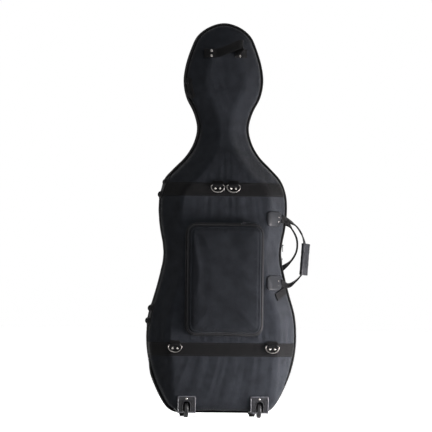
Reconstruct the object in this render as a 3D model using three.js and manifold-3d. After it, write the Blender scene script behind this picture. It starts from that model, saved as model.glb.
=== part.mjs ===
// A hard case for a full size cello, standing upright on two wheels and two rubber feet.
// Millimetres. X runs across the case, Z runs up, the back panel faces -Y and the lid faces +Y.
// The two halves meet on the plane y = 0 until the whole case is centred at the end.

import * as THREE from 'three';
import { mergeVertices } from 'three/addons/utils/BufferGeometryUtils.js';
import Module from 'manifold-3d';

const wasm = await Module();
wasm.setup();

// Whole case
const caseHeight = 1330;
const groundClearance = 20;
const halfWidth = 257;
const backDepth = 130;
const lidDepth = 150;
const headDepth = 76;

// Heights of what the case carries, as shares of its own height
const heightShares = {
  shoulderLow: 0.624060, shoulderHigh: 0.744361, hingeLow: 0.135338, hingeHigh: 0.563910,
  upperBand: 0.571429, lowerBand: 0.160150, upperSlider: 0.430075, lowerSlider: 0.394737,
  topStrap: 0.922556, handleUpper: 0.496992, baseHandleLower: 0.332331, lidHandleLower: 0.360902,
  headFoot: 0.833083, upperFoot: 0.574436, lowerFoot: 0.248120, cradle: 0.725564,
  upperPad: 0.545113, lowerPad: 0.127820, turner: 0.081203, sleeve: 0.511278,
};

function heightOf(place) {
  return groundClearance + heightShares[place] * caseHeight;
}

// Seen from the back: height and half width of the right side, as shares of the case's own.
const outlineShares = [
  [0.000, 0.600], [0.008, 0.672], [0.020, 0.728], [0.042, 0.795], [0.100, 0.925],
  [0.150, 0.985], [0.200, 1.000], [0.250, 0.974], [0.300, 0.900], [0.350, 0.832],
  [0.395, 0.786], [0.425, 0.790], [0.475, 0.836], [0.520, 0.855], [0.560, 0.838],
  [0.595, 0.768], [0.625, 0.630], [0.655, 0.480], [0.690, 0.375], [0.730, 0.331],
  [0.770, 0.380], [0.810, 0.482], [0.850, 0.520], [0.890, 0.496], [0.935, 0.424],
  [0.967, 0.345], [0.990, 0.195], [1.000, 0.000],
];
const sideSteps = 34;

// Cross-section of a half: a drafted side wall, a sloping flank and a flat panel
const seamReveal = 4;
const wallDraft = 5;
const flankRun = 62;
const bottomFlankRun = 16;
const wallShare = 0.5;
const bottomWallShare = 0.9;
const bottomBlend = 160;

// Skin, padding and the gap that touching pieces keep
const gap = 0.3;
const shellWall = 8;
const padding = 14;
const liningRimDrop = 1.5;
const overrun = 400;

// Zip, piping and cloth hinge at the seam
const seamSeat = 0.6;
const zipTapeWidth = 14;
const zipTapeThickness = 1.2;
const zipCoilWidth = 3;
const zipCoilHeight = 3.4;
const pipingWidth = 5;
const pipingHeight = 4;
const hingeLow = heightOf('hingeLow');
const hingeHigh = heightOf('hingeHigh');
const hingeTapeWidth = 22;
const hingeTapeThickness = 1.4;

// Webbing bands across the back
const bandWidth = 46;
const bandThickness = 1.5;
const upperBandZ = heightOf('upperBand');
const lowerBandZ = heightOf('lowerBand');
const bandStart = 24;

// D-rings and their riveted plates
const ringWidth = 50;
const ringHeight = 33;
const ringWire = 2.2;
const ringCorner = 8;
const ringSides = 6;
const barrelRadius = 5;
const barrelBore = 2.6;
const chapeWidth = 30;
const chapeDrop = 17;
const chapeThickness = 2.4;
const chapeRivetSpacing = 15;
const rivetRadius = 3.5;
const rivetHeight = 1.8;
const upperRingX = 27;
const lowerRingX = 167;
const ringBarRise = 14;

// Pocket on the back panel
const pocketWidth = 260;
const pocketHeightShare = 0.284211;
const pocketHeight = pocketHeightShare * caseHeight;
const pocketCorner = 33;
const pocketAboveBand = 27;
const pocketZ = lowerBandZ + bandWidth / 2 + pocketAboveBand + pocketHeight / 2;
const pocketDepth = 26;
const pocketWall = 6;
const pocketPiping = 2.3;
const pocketPipingSides = 6;
const flapEdge = 5;
const flapCrown = 14;
const flapCrownShares = [[0.10, 0.40], [0.30, 0.78], [0.60, 0.96]];
const cornerSteps = 4;

// Zip sliders and pulls
const sliderWidth = 11;
const sliderLength = 16;
const sliderHeight = 4.5;
const cheekHeight = 4;
const cheekWidth = 2.4;
const pullBarrel = 1.6;
const pullWidth = 7;
const pullLength = 23;
const pullThickness = 1.6;
const pullHole = 1.7;
const upperSliderZ = heightOf('upperSlider');
const lowerSliderZ = heightOf('lowerSlider');
const pocketSliderX = 62;

// Top handle, a slack webbing strap whose level ends are riveted on the head
const topStrapWidth = 30;
const topStrapThickness = 2.5;
const topStrapSeat = 0.5;
const topStrapSpan = 98;
const topStrapZ = heightOf('topStrap');
const topStrapTail = 24;
const topStrapTailDrop = 9;
const topStrapBend = 6;
const topStrapRise = 40;
const topStrapBow = 34;
const topRivetSpacing = 17;
const topRivetRadius = 5;
const topStrapSteps = 60;
// Along the span, up the rise and out from the head: the slack folds over near the right end
const topStrapShares = [
  [0.05, 0.00, 0.005], [0.12, 0.00, 0.02], [0.20, 0.02, 0.07], [0.36, 0.18, 0.36], [0.62, 0.52, 0.72],
  [0.88, 0.86, 0.95], [1.04, 1.00, 1.00], [1.10, 1.00, 0.88], [1.07, 0.92, 0.72], [0.98, 0.60, 0.48],
  [0.885, 0.25, 0.25], [0.850, 0.06, 0.12], [0.875, 0.00, 0.04], [0.925, 0.00, 0.02], [0.97, 0.00, 0.005],
];

// Side handles, two straps on riveted patches
const patchLength = 53;
const patchHeight = 52;
const patchThickness = 6;
const patchInset = 22;
const patchClearance = 8;
const handleUpperZ = heightOf('handleUpper');
const baseHandleLowerZ = heightOf('baseHandleLower');
const lidHandleLowerZ = heightOf('lidHandleLower');
const sideStrapWidth = 26;
const sideStrapThickness = 3;
const sideStrapLift = 4.5;
const sideStrapGap = 1.7;
const sideStrapSteps = 40;
const baseReachX = 88;
const baseReachY = 58;
const lidReachX = 74;
const lidReachY = 74;
// Down from the upper patch, out along the reach, and turned from flat to edge on
const baseStrapShares = [
  [0.00, 0.00, 0.0], [0.00, 0.12, 0.0], [0.03, 0.34, 0.2], [0.12, 0.66, 0.6], [0.27, 0.88, 0.9],
  [0.42, 1.00, 1.0], [0.80, 0.97, 1.0], [0.91, 0.76, 0.8], [0.98, 0.36, 0.3], [1.00, 0.12, 0.0],
  [1.00, 0.00, 0.0],
];
const lidStrapShares = [
  [0.00, 0.00, 0.0], [0.00, 0.12, 0.0], [0.04, 0.34, 0.2], [0.16, 0.70, 0.6], [0.40, 0.95, 1.0],
  [0.60, 0.97, 1.0], [0.84, 0.72, 0.6], [0.96, 0.34, 0.2], [1.00, 0.12, 0.0], [1.00, 0.00, 0.0],
];
const gripWidth = 32;
const gripDepth = 15;
const gripCorner = 5;
const gripStartShare = 0.43;
const gripEndShare = 0.79;

// Feet on the left side, in pairs of studs on a plate
const sideFootHeights = {
  head: heightOf('headFoot'),
  upper: heightOf('upperFoot'),
  lower: heightOf('lowerFoot'),
};
const sideFootStud = 11;
const sideFootStudHeight = 7;
const sideFootSpacing = 43;
const sideFootPlateWidth = 34;
const sideFootPlateMargin = 16;
const sideFootPlateThickness = 2.5;
const sideFootFromSeam = 45;
const headFootFromSeam = 20;
const headFootPlateWidth = 26;

// Wheels in their housings
const wheelX = 125;
const wheelRadius = 27;
const wheelBack = 112;
const treadHalf = 7;
const hubRadius = 8;
const hubHalf = 12.2;
const axleRadius = 3;
const axleClearance = 0.35;
const housingWidth = 63;
const housingTop = 74;
const housingBottom = 16;
const housingPlate = 5;
const housingFloorEnd = 60;
const wellHalf = 17;
const slotHalf = 12.5;
const wheelClearance = 2;
const wellWall = 4.5;
const wellPadding = 10;
const roundSteps = 24;

// Rubber feet under the lid
const footX = 120;
const footFromSeam = 88;
const footRadius = 21;
const footTopRadius = 18;

// Fittings inside
const cradleZ = heightOf('cradle');
const cradleHeight = 50;
const cradleTop = 22;
const cradleNotch = 28;
const neckStrapWidth = 30;
const neckStrapThickness = 2.5;
const neckStrapHalfSpan = 44;
const neckStrapArch = 7;
const neckStrapSeat = 0.8;
// Along the half span and up the arch
const neckStrapShares = [
  [-1, 0], [-0.8, 0], [-0.65, 0.02], [-0.35, 0.75], [0, 1], [0.35, 0.75], [0.65, 0.02], [0.8, 0], [1, 0],
];
const padRise = 18;
const padLength = 66;
const upperPadZ = heightOf('upperPad');
const lowerPadZ = heightOf('lowerPad');
const turnerX = 62;
const turnerZ = heightOf('turner');
const turnerRadius = 9;
const turnerHeight = 16;
const turnerArm = 46;
const turnerArmWidth = 12;
const turnerArmHeight = 5;
const sleeveWidth = 190;
const sleeveHeight = 70;
const sleeveDepth = 24;
const sleeveWall = 3;
const sleeveZ = heightOf('sleeve');

// Materials
function material(color, roughness, metalness) {
  return new THREE.MeshStandardMaterial({ color, roughness, metalness });
}
const wovenPolyester = material(0x26262a, 0.85, 0);
const plushLining = material(0x2e3036, 0.95, 0);
const webbing = material(0x1b1b1e, 0.8, 0);
const pipingVinyl = material(0x141415, 0.45, 0);
const zipNylon = material(0x19191b, 0.6, 0);
const blackVinyl = material(0x18181b, 0.5, 0);
const ribbedPlastic = material(0x1c1c1f, 0.55, 0);
const wheelRubber = material(0x111112, 0.8, 0);
const footRubber = material(0x151516, 0.9, 0);
const nickelSteel = material(0xc4c6ca, 0.25, 1);
const blackenedMetal = material(0x2a2a2d, 0.4, 0.8);
const darkFoam = material(0x232428, 0.95, 0);

// The two halves of the case
const base = { side: -1, depth: backDepth };
const lid = { side: 1, depth: lidDepth };

const caseGroup = new THREE.Group();

function addPiece(name, geometry, surface) {
  const mesh = new THREE.Mesh(geometry, surface);
  mesh.name = name;
  caseGroup.add(mesh);
  return mesh;
}

// Solids
function toSolid(geometry) {
  const bare = geometry.clone();
  bare.deleteAttribute('normal');
  bare.deleteAttribute('uv');
  const merged = mergeVertices(bare, 1e-4);
  const vertProperties = new Float32Array(merged.attributes.position.array);
  const triVerts = new Uint32Array(merged.index.array);
  return new wasm.Manifold(new wasm.Mesh({ numProp: 3, vertProperties, triVerts }));
}

function toGeometry(solid) {
  const mesh = solid.getMesh();
  const geometry = new THREE.BufferGeometry();
  geometry.setAttribute('position', new THREE.BufferAttribute(mesh.vertProperties, 3));
  geometry.setIndex(new THREE.BufferAttribute(mesh.triVerts, 1));
  return geometry;
}

function blockGeometry(low, high) {
  const size = [high[0] - low[0], high[1] - low[1], high[2] - low[2]];
  const geometry = new THREE.BoxGeometry(...size);
  geometry.translate((low[0] + high[0]) / 2, (low[1] + high[1]) / 2, (low[2] + high[2]) / 2);
  return geometry;
}

function block(low, high) {
  return toSolid(blockGeometry(low, high));
}

function roundBar(radius, length, axis, centre) {
  const geometry = new THREE.CylinderGeometry(radius, radius, length, roundSteps);
  if (axis === 'x') {
    geometry.rotateZ(Math.PI / 2);
  }
  if (axis === 'z') {
    geometry.rotateX(Math.PI / 2);
  }
  geometry.translate(...centre);
  return toSolid(geometry);
}

// A low dome with its flat side on the origin, rising along +Y
function domeGeometry(radius, height, steps) {
  const profile = [new THREE.Vector2(0, 0), new THREE.Vector2(radius, 0)];
  const slices = 3;
  for (let slice = 1; slice < slices; slice += 1) {
    const angle = (slice / slices) * Math.PI / 2;
    profile.push(new THREE.Vector2(radius * Math.cos(angle), height * Math.sin(angle)));
  }
  profile.push(new THREE.Vector2(0, height));
  return new THREE.LatheGeometry(profile, steps);
}

// A closed skin through rings of equal length; each end is closed by the given cap triangles.
function skinThrough(rings, capTriangles, wrapAround) {
  const count = rings[0].length;
  const positions = [];
  for (const ring of rings) {
    for (const point of ring) {
      positions.push(point.x, point.y, point.z);
    }
  }
  const index = [];
  const bands = wrapAround ? rings.length : rings.length - 1;
  for (let band = 0; band < bands; band += 1) {
    const here = band * count;
    const next = ((band + 1) % rings.length) * count;
    for (let step = 0; step < count; step += 1) {
      const after = (step + 1) % count;
      index.push(here + step, here + after, next + after);
      index.push(here + step, next + after, next + step);
    }
  }
  if (!wrapAround) {
    const last = (rings.length - 1) * count;
    for (const [a, b, c] of capTriangles) {
      index.push(c, b, a);
      index.push(last + a, last + b, last + c);
    }
  }
  const geometry = new THREE.BufferGeometry();
  geometry.setAttribute('position', new THREE.Float32BufferAttribute(positions, 3));
  geometry.setIndex(index);
  if (signedVolume(geometry) < 0) {
    turnInsideOut(geometry);
  }
  return geometry;
}

function signedVolume(geometry) {
  const position = geometry.attributes.position;
  const index = geometry.index;
  const corner = [new THREE.Vector3(), new THREE.Vector3(), new THREE.Vector3()];
  let volume = 0;
  for (let face = 0; face < index.count; face += 3) {
    for (let item = 0; item < 3; item += 1) {
      corner[item].fromBufferAttribute(position, index.getX(face + item));
    }
    volume += corner[0].dot(corner[1].clone().cross(corner[2]));
  }
  return volume;
}

function turnInsideOut(geometry) {
  const index = geometry.index;
  for (let face = 0; face < index.count; face += 3) {
    const second = index.getX(face + 1);
    index.setX(face + 1, index.getX(face + 2));
    index.setX(face + 2, second);
  }
}

// Triangles that close a convex ring
function fanCap(count) {
  const triangles = [];
  for (let step = 1; step < count - 1; step += 1) {
    triangles.push([0, step, step + 1]);
  }
  return triangles;
}

// Triangles that close a ring whose left side mirrors its right side, in level rungs
function rungCap(count) {
  const triangles = [];
  const top = (count - 1) / 2;
  for (let step = 0; step < top; step += 1) {
    const opposite = count - 1 - step;
    triangles.push([step, step + 1, opposite]);
    if (step + 1 < top) {
      triangles.push([step + 1, opposite - 1, opposite]);
    }
  }
  return triangles;
}

// Outline of the seam, from the right bottom corner over the head to the left bottom corner
function seamStations() {
  const right = outlineShares.map(([height, width]) => (
    new THREE.Vector3(width * halfWidth, 0, groundClearance + height * caseHeight)));
  const left = right.slice(0, -1).reverse().map((point) => point.clone().setX(-point.x));
  const curve = new THREE.CatmullRomCurve3([...right, ...left], false, 'centripetal');
  const spaced = curve.getSpacedPoints(2 * sideSteps).slice(0, sideSteps + 1);
  spaced[sideSteps].x = 0;
  const mirrored = spaced.slice(0, -1).reverse().map((point) => point.clone().setX(-point.x));
  const points = [...spaced, ...mirrored];
  return points.map((point, step) => {
    const last = points.length - 1;
    let outward = new THREE.Vector3(0, 0, -1);
    if (step > 0 && step < last) {
      const along = points[step + 1].clone().sub(points[step - 1]);
      outward = new THREE.Vector3(along.z, 0, -along.x).normalize();
    }
    return { point, outward };
  });
}
const stations = seamStations();

function halfWidthAt(height) {
  for (let step = 0; step < sideSteps; step += 1) {
    const low = stations[step].point;
    const high = stations[step + 1].point;
    if (height >= low.z && height <= high.z) {
      return low.x + (high.x - low.x) * (height - low.z) / (high.z - low.z);
    }
  }
  throw new Error('that height is off the case');
}

function depthAt(half, height) {
  const toHead = THREE.MathUtils.smoothstep(height, heightOf('shoulderLow'), heightOf('shoulderHigh'));
  return THREE.MathUtils.lerp(half.depth, headDepth, toHead);
}

// Where two lines cross, each given by a point and a direction
function crossing(first, second) {
  const [p, d] = first;
  const [q, e] = second;
  const step = ((q[0] - p[0]) * e[1] - (q[1] - p[1]) * e[0]) / (d[0] * e[1] - d[1] * e[0]);
  return [p[0] + d[0] * step, p[1] + d[1] * step];
}

// Cross-section at one height, as [inset from the seam outline, depth from the seam plane].
// A positive skin lies inside the outer surface, a negative one outside it.
function sectionAt(half, height, skin, rimDepth) {
  const upward = THREE.MathUtils.smoothstep(height, groundClearance, groundClearance + bottomBlend);
  const depth = depthAt(half, height);
  const wallEnd = depth * THREE.MathUtils.lerp(bottomWallShare, wallShare, upward);
  const draft = wallDraft * upward;
  const flankEnd = seamReveal + THREE.MathUtils.lerp(bottomFlankRun, flankRun, upward);
  const corners = [[seamReveal, 0], [seamReveal + draft, wallEnd], [flankEnd, depth]];
  const lines = [];
  for (let piece = 0; piece < 2; piece += 1) {
    const [start, end] = [corners[piece], corners[piece + 1]];
    const run = [end[0] - start[0], end[1] - start[1]];
    const length = Math.hypot(...run);
    const inward = [run[1] / length, -run[0] / length];
    lines.push([[start[0] + inward[0] * skin, start[1] + inward[1] * skin], run]);
  }
  const panel = [[0, depth - skin], [1, 0]];
  const rim = [[0, rimDepth], [1, 0]];
  return [crossing(lines[0], rim), crossing(lines[0], lines[1]), crossing(lines[1], panel)];
}

// A solid half case, its outer surface moved in by the skin
function solidHalf(half, skin, rimDepth) {
  const rings = [0, 1, 2].map((corner) => stations.map(({ point, outward }) => {
    const [inset, depth] = sectionAt(half, point.z, skin, rimDepth)[corner];
    const place = point.clone().addScaledVector(outward, -inset);
    return place.setY(half.side * depth);
  }));
  return toSolid(skinThrough(rings, rungCap(stations.length), false));
}

// The part of a half's outer covering between two skins that lies in a block
function covering(half, inner, outer, low, high) {
  const layer = solidHalf(half, -outer, 0).subtract(solidHalf(half, -inner, 0));
  return layer.intersect(block(low, high));
}

// A block between two distances from the seam plane, on one half's side
function beside(half, near, far, xLow, xHigh, zLow, zHigh) {
  const reach = [half.side * near, half.side * far].sort((a, b) => a - b);
  return [[xLow, reach[0], zLow], [xHigh, reach[1], zHigh]];
}

// Wheel wells
const wheelTop = 2 * wheelRadius + wheelClearance;
const wellTop = wheelTop + wellWall;
const wellInner = wheelBack - wheelRadius - wheelClearance - wellWall;
const shellBottom = groundClearance + seamReveal;

function wellBlock(centreX, margin) {
  return block(
    [centreX - wellHalf - margin, -backDepth - overrun, -overrun],
    [centreX + wellHalf + margin, -wellInner + margin, wellTop + margin],
  );
}

function wheelWells(solid, margin) {
  let cut = solid;
  for (const side of [-1, 1]) {
    cut = cut.subtract(wellBlock(side * wheelX, margin));
  }
  return cut;
}

// Shells and linings
function shellSolid(half) {
  const hollow = solidHalf(half, shellWall, -gap);
  return solidHalf(half, 0, gap / 2).subtract(hollow);
}

function liningSolid(half, keepWells) {
  let hollow = solidHalf(half, shellWall + gap + padding, -gap);
  if (keepWells) {
    hollow = wheelWells(hollow, gap + wellPadding);
  }
  return solidHalf(half, shellWall + gap, liningRimDrop).subtract(hollow);
}

addPiece('base_shell', toGeometry(wheelWells(shellSolid(base), gap)), wovenPolyester);
addPiece('lid_shell', toGeometry(shellSolid(lid)), wovenPolyester);
addPiece('base_lining', toGeometry(wheelWells(liningSolid(base, true), gap)), plushLining);
addPiece('lid_lining', toGeometry(liningSolid(lid, false)), plushLining);

// Zip, piping and hinge at the seam
// A section carried along the seam from the top of the hinge, over the head and across the bottom
// to the foot of the hinge. Its corners are [height off the skin, depth from the seam plane].
function alongSeam(half, corners) {
  const last = stations.length - 1;
  const left = stations.map((station, step) => ({ ...station, step })).slice(sideSteps);
  const above = left.filter(({ point }) => point.z >= hingeHigh).length;
  const below = left.filter(({ point }) => point.z <= hingeLow).length;
  const order = [];
  for (let step = sideSteps + above - 1; step >= 0; step -= 1) {
    order.push(step);
  }
  for (let step = last; step > last - below; step -= 1) {
    order.push(step);
  }
  const rings = order.map((step) => {
    const { point, outward } = stations[step];
    return corners.map(([height, depth]) => {
      const [inset] = sectionAt(half, point.z, -height, depth)[0];
      return point.clone().addScaledVector(outward, -inset).setY(half.side * depth);
    });
  });
  return skinThrough(rings, fanCap(corners.length), false);
}

function zipHalf(half) {
  const tape = seamSeat + zipTapeThickness;
  return alongSeam(half, [
    [tape, zipCoilWidth], [tape, zipTapeWidth], [seamSeat, zipTapeWidth],
    [seamSeat, gap / 2], [zipCoilHeight, gap / 2], [zipCoilHeight, zipCoilWidth],
  ]);
}

function pipingHalf(half) {
  const near = zipTapeWidth + gap;
  const far = near + pipingWidth;
  return alongSeam(half, [
    [seamSeat, near], [pipingHeight, near + gap], [pipingHeight, far - gap], [seamSeat, far],
  ]);
}

function hingeTape(half) {
  const [low, high] = beside(half, gap / 2, hingeTapeWidth, -overrun, 0, hingeLow, hingeHigh);
  return covering(half, gap, gap + hingeTapeThickness, low, high);
}

for (const [name, half] of [['base', base], ['lid', lid]]) {
  addPiece(`${name}_piping`, pipingHalf(half), pipingVinyl);
  addPiece(`${name}_zip_half`, zipHalf(half), zipNylon);
  addPiece(`${name}_hinge_tape`, toGeometry(hingeTape(half)), wovenPolyester);
}

// The hinge line touches the seam outline at the lower and the upper bout of the left side.
function hingeLine() {
  const left = stations.slice(sideSteps).map(({ point }) => point);
  const waist = (hingeLow + hingeHigh) / 2;
  let outward = new THREE.Vector3(-1, 0, 0);
  let touching = [];
  for (let pass = 0; pass < 4; pass += 1) {
    const furthest = (points) => points.reduce((best, point) => (
      point.dot(outward) > best.dot(outward) ? point : best));
    touching = [
      furthest(left.filter((point) => point.z < waist)),
      furthest(left.filter((point) => point.z > waist)),
    ];
    const along = touching[1].clone().sub(touching[0]);
    outward = new THREE.Vector3(-along.z, 0, along.x).normalize();
  }
  return touching;
}

// Webbing bands
function band(height) {
  const zLow = height - bandWidth / 2;
  const [low, high] = beside(base, bandStart, overrun, -overrun, overrun, zLow, zLow + bandWidth);
  return covering(base, gap, gap + bandThickness, low, high);
}
addPiece('upper_band', toGeometry(band(upperBandZ)), webbing);
addPiece('lower_band', toGeometry(band(lowerBandZ)), webbing);

// D-rings, each hanging by its straight bar in the barrel of a riveted plate
const bandFace = backDepth + gap + bandThickness;
const ringBarY = -(bandFace + gap + barrelRadius);

// A tube of round section along a closed curve that lies in a plane of constant y
function loopTube(points, radius, sides) {
  const rings = points.map((point, step) => {
    const before = points[(step + points.length - 1) % points.length];
    const after = points[(step + 1) % points.length];
    const along = after.clone().sub(before).normalize();
    const outward = new THREE.Vector3(along.z, 0, -along.x);
    const ring = [];
    for (let side = 0; side < sides; side += 1) {
      const angle = ((side + 0.5) / sides) * 2 * Math.PI;
      const place = point.clone().addScaledVector(outward, radius * Math.cos(angle));
      place.y += radius * Math.sin(angle);
      ring.push(place);
    }
    return ring;
  });
  return skinThrough(rings, [], true);
}

function ringCurve() {
  const halfSpan = ringWidth / 2 - ringWire;
  const drop = ringHeight - 2 * ringWire;
  const shape = new THREE.Shape();
  shape.moveTo(-halfSpan + ringCorner, 0);
  shape.lineTo(halfSpan - ringCorner, 0);
  shape.absarc(halfSpan - ringCorner, -ringCorner, ringCorner, Math.PI / 2, 0, true);
  shape.absellipse(0, -ringCorner, halfSpan, drop - ringCorner, 0, -Math.PI, true);
  shape.absarc(-halfSpan + ringCorner, -ringCorner, ringCorner, Math.PI, Math.PI / 2, true);
  const flat = shape.getPoints(cornerSteps + 2);
  const points = flat.map((point) => new THREE.Vector3(point.x, 0, point.y));
  return points.filter((point, step) => {
    const next = points[(step + 1) % points.length];
    return point.distanceTo(next) > gap;
  });
}

function ringPlate(centreX, barZ) {
  const back = -(bandFace + gap);
  const half = chapeWidth / 2;
  let plate = block(
    [centreX - half, back - chapeThickness, barZ - chapeDrop],
    [centreX + half, back, barZ],
  );
  plate = plate.add(roundBar(barrelRadius, chapeWidth, 'x', [centreX, ringBarY, barZ]));
  plate = plate.subtract(roundBar(barrelBore, chapeWidth + overrun, 'x', [centreX, ringBarY, barZ]));
  for (const side of [-1, 1]) {
    const rivet = domeGeometry(rivetRadius, rivetHeight + gap, roundSteps / 2);
    rivet.rotateX(Math.PI);
    const rivetZ = barZ - (barrelRadius + chapeDrop) / 2;
    rivet.translate(centreX + side * chapeRivetSpacing / 2, back - chapeThickness + gap, rivetZ);
    plate = plate.add(toSolid(rivet));
  }
  return plate;
}

const ringPlaces = {
  upper_left: [-upperRingX, upperBandZ + ringBarRise],
  upper_right: [upperRingX, upperBandZ + ringBarRise],
  lower_left: [-lowerRingX, lowerBandZ + ringBarRise],
  lower_right: [lowerRingX, lowerBandZ + ringBarRise],
};
for (const [name, [centreX, barZ]] of Object.entries(ringPlaces)) {
  addPiece(`ring_plate_${name}`, toGeometry(ringPlate(centreX, barZ)), webbing);
  const ring = addPiece(`d_ring_${name}`, loopTube(ringCurve(), ringWire, ringSides), nickelSteel);
  ring.position.set(centreX, ringBarY, barZ);
}

// Pocket: a gusset on the back panel, two pipings and a front that folds down
function roundedRing(width, height, corner, y) {
  const x = width / 2 - corner;
  const z = height / 2 - corner;
  const shape = new THREE.Shape();
  shape.absarc(x, z, corner, 0, Math.PI / 2, false);
  shape.absarc(-x, z, corner, Math.PI / 2, Math.PI, false);
  shape.absarc(-x, -z, corner, Math.PI, 1.5 * Math.PI, false);
  shape.absarc(x, -z, corner, 1.5 * Math.PI, 2 * Math.PI, false);
  const flat = shape.getPoints(cornerSteps).filter((point, step, all) => (
    point.distanceTo(all[(step + 1) % all.length]) > gap / 10));
  return flat.map((point) => new THREE.Vector3(point.x, y, pocketZ + point.y));
}

function roundedSlab(inset, near, far) {
  const size = [pocketWidth - 2 * inset, pocketHeight - 2 * inset, pocketCorner - inset];
  const rings = [roundedRing(...size, -near), roundedRing(...size, -far)];
  return toSolid(skinThrough(rings, fanCap(rings[0].length), false));
}

const gussetBack = backDepth + gap;
const gussetFront = gussetBack + pocketDepth;
const gusset = roundedSlab(0, gussetBack, gussetFront)
  .subtract(roundedSlab(pocketWall, gussetBack - overrun, gussetFront + overrun));
addPiece('pocket_gusset', toGeometry(gusset), wovenPolyester);

function pocketPipingLoop(y) {
  const offset = pocketPiping + gap;
  const size = [pocketWidth + 2 * offset, pocketHeight + 2 * offset, pocketCorner + offset];
  return loopTube(roundedRing(...size, y), pocketPiping, pocketPipingSides);
}
addPiece('pocket_base_piping', pocketPipingLoop(-(gussetBack + pocketPiping)), pipingVinyl);
addPiece('pocket_front_piping', pocketPipingLoop(-(gussetFront - pocketPiping)), pipingVinyl);

const flapBack = gussetFront + gap;
function pocketFlap() {
  const rings = [
    roundedRing(pocketWidth, pocketHeight, pocketCorner, -flapBack),
    roundedRing(pocketWidth, pocketHeight, pocketCorner, -flapBack - flapEdge),
  ];
  for (const [insetShare, riseShare] of flapCrownShares) {
    const inset = insetShare * pocketWidth;
    const corner = Math.max(pocketCorner - inset / 2, flapEdge);
    rings.push(roundedRing(
      pocketWidth - inset, pocketHeight - inset, corner, -flapBack - flapEdge - riseShare * flapCrown));
  }
  return skinThrough(rings, fanCap(rings[0].length), false);
}
addPiece('pocket_front', pocketFlap(), wovenPolyester);

// A zip slider that faces +X with its pull hanging down, at the origin of its own group
function sliderSolid() {
  const half = sliderWidth / 2;
  let body = block([0, -half, -sliderLength / 2], [sliderHeight, half, sliderLength / 2]);
  const inner = pullWidth / 2 - pullHole + gap;
  for (const side of [-1, 1]) {
    const span = [side * inner, side * (inner + cheekWidth)].sort((a, b) => a - b);
    body = body.add(block(
      [sliderHeight - gap, span[0], -cheekHeight / 2],
      [sliderHeight + cheekHeight, span[1], cheekHeight / 2],
    ));
  }
  return body;
}

const pullPivot = sliderHeight + gap + pullBarrel;
function pullSolid() {
  const inner = pullWidth / 2 - pullHole;
  const barrel = roundBar(pullBarrel, 2 * inner, 'y', [0, 0, 0]);
  const stem = block(
    [-pullThickness / 2, -inner, -cheekHeight - gap],
    [pullThickness / 2, inner, 0],
  );
  const tab = block(
    [-pullThickness / 2, -pullWidth / 2, -pullLength],
    [pullThickness / 2, pullWidth / 2, -cheekHeight],
  );
  const eye = roundBar(pullHole, overrun, 'x', [0, 0, -pullLength + 2 * pullHole]);
  return barrel.add(stem).add(tab).subtract(eye);
}

function addSlider(sliderName, pullName, place, turn) {
  const group = new THREE.Group();
  group.position.set(...place);
  group.rotation.y = turn;
  const slider = addPiece(sliderName, toGeometry(sliderSolid()), blackenedMetal);
  const pull = addPiece(pullName, toGeometry(pullSolid()), blackenedMetal);
  pull.position.x = pullPivot;
  group.add(slider, pull);
  caseGroup.add(group);
}

function sliderPlace(height) {
  const reach = sliderLength / 2;
  const widest = Math.max(halfWidthAt(height - reach), halfWidthAt(height), halfWidthAt(height + reach));
  return [widest - seamReveal + zipCoilHeight + gap, 0, height];
}
addSlider('zip_slider_upper', 'zip_pull_upper', sliderPlace(upperSliderZ), 0);
addSlider('zip_slider_lower', 'zip_pull_lower', sliderPlace(lowerSliderZ), 0);
const pocketTop = pocketZ + pocketHeight / 2;
const pocketSliderY = -(gussetBack + pocketDepth / 2);
addSlider(
  'pocket_zip_slider', 'pocket_zip_pull',
  [pocketSliderX, pocketSliderY, pocketTop + gap], -Math.PI / 2,
);

// A flat strap along a smooth curve; each point carries the direction of the strap's width.
function ribbon(points, widthDirections, width, thickness, steps) {
  const curve = new THREE.CatmullRomCurve3(points, false, 'centripetal');
  const rings = [];
  for (let step = 0; step <= steps; step += 1) {
    const share = step / steps;
    const place = curve.getPoint(share);
    const along = curve.getTangent(share);
    const position = share * (points.length - 1);
    const before = Math.min(Math.floor(position), points.length - 2);
    const across = widthDirections[before].clone()
      .lerp(widthDirections[before + 1], position - before);
    across.addScaledVector(along, -across.dot(along)).normalize();
    const face = along.clone().cross(across);
    const ring = [[-1, -1], [1, -1], [1, 1], [-1, 1]].map(([w, t]) => (
      place.clone()
        .addScaledVector(across, w * width / 2)
        .addScaledVector(face, t * thickness / 2)));
    rings.push(ring);
  }
  return skinThrough(rings, fanCap(4), false);
}

// Top handle
const headFace = headDepth + topStrapSeat;
function topHandle() {
  const footY = -(headFace + topStrapThickness / 2);
  const halfSpan = topStrapSpan / 2;
  const foot = (side) => [
    new THREE.Vector3(side * (halfSpan + topStrapTail), footY + topStrapTailDrop, topStrapZ),
    new THREE.Vector3(side * (halfSpan + topStrapBend), footY, topStrapZ),
    new THREE.Vector3(side * halfSpan, footY, topStrapZ),
  ];
  const slack = topStrapShares.map(([spanShare, riseShare, bowShare]) => new THREE.Vector3(
    -halfSpan + spanShare * topStrapSpan,
    footY - bowShare * topStrapBow,
    topStrapZ + riseShare * topStrapRise,
  ));
  const points = [...foot(-1), ...slack, ...foot(1).reverse()];
  const directions = points.map(() => new THREE.Vector3(0, 0, 1));
  let strap = toSolid(ribbon(points, directions, topStrapWidth, topStrapThickness, topStrapSteps));
  for (const side of [-1, 1]) {
    for (const row of [-1, 1]) {
      const rivet = domeGeometry(topRivetRadius, rivetHeight + gap, roundSteps / 2);
      rivet.rotateX(Math.PI);
      const rivetZ = topStrapZ + row * topRivetSpacing / 2;
      rivet.translate(side * halfSpan, footY - topStrapThickness / 2 + gap, rivetZ);
      strap = strap.add(toSolid(rivet));
    }
  }
  return strap;
}
addPiece('top_handle_strap', toGeometry(topHandle()), webbing);

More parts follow.
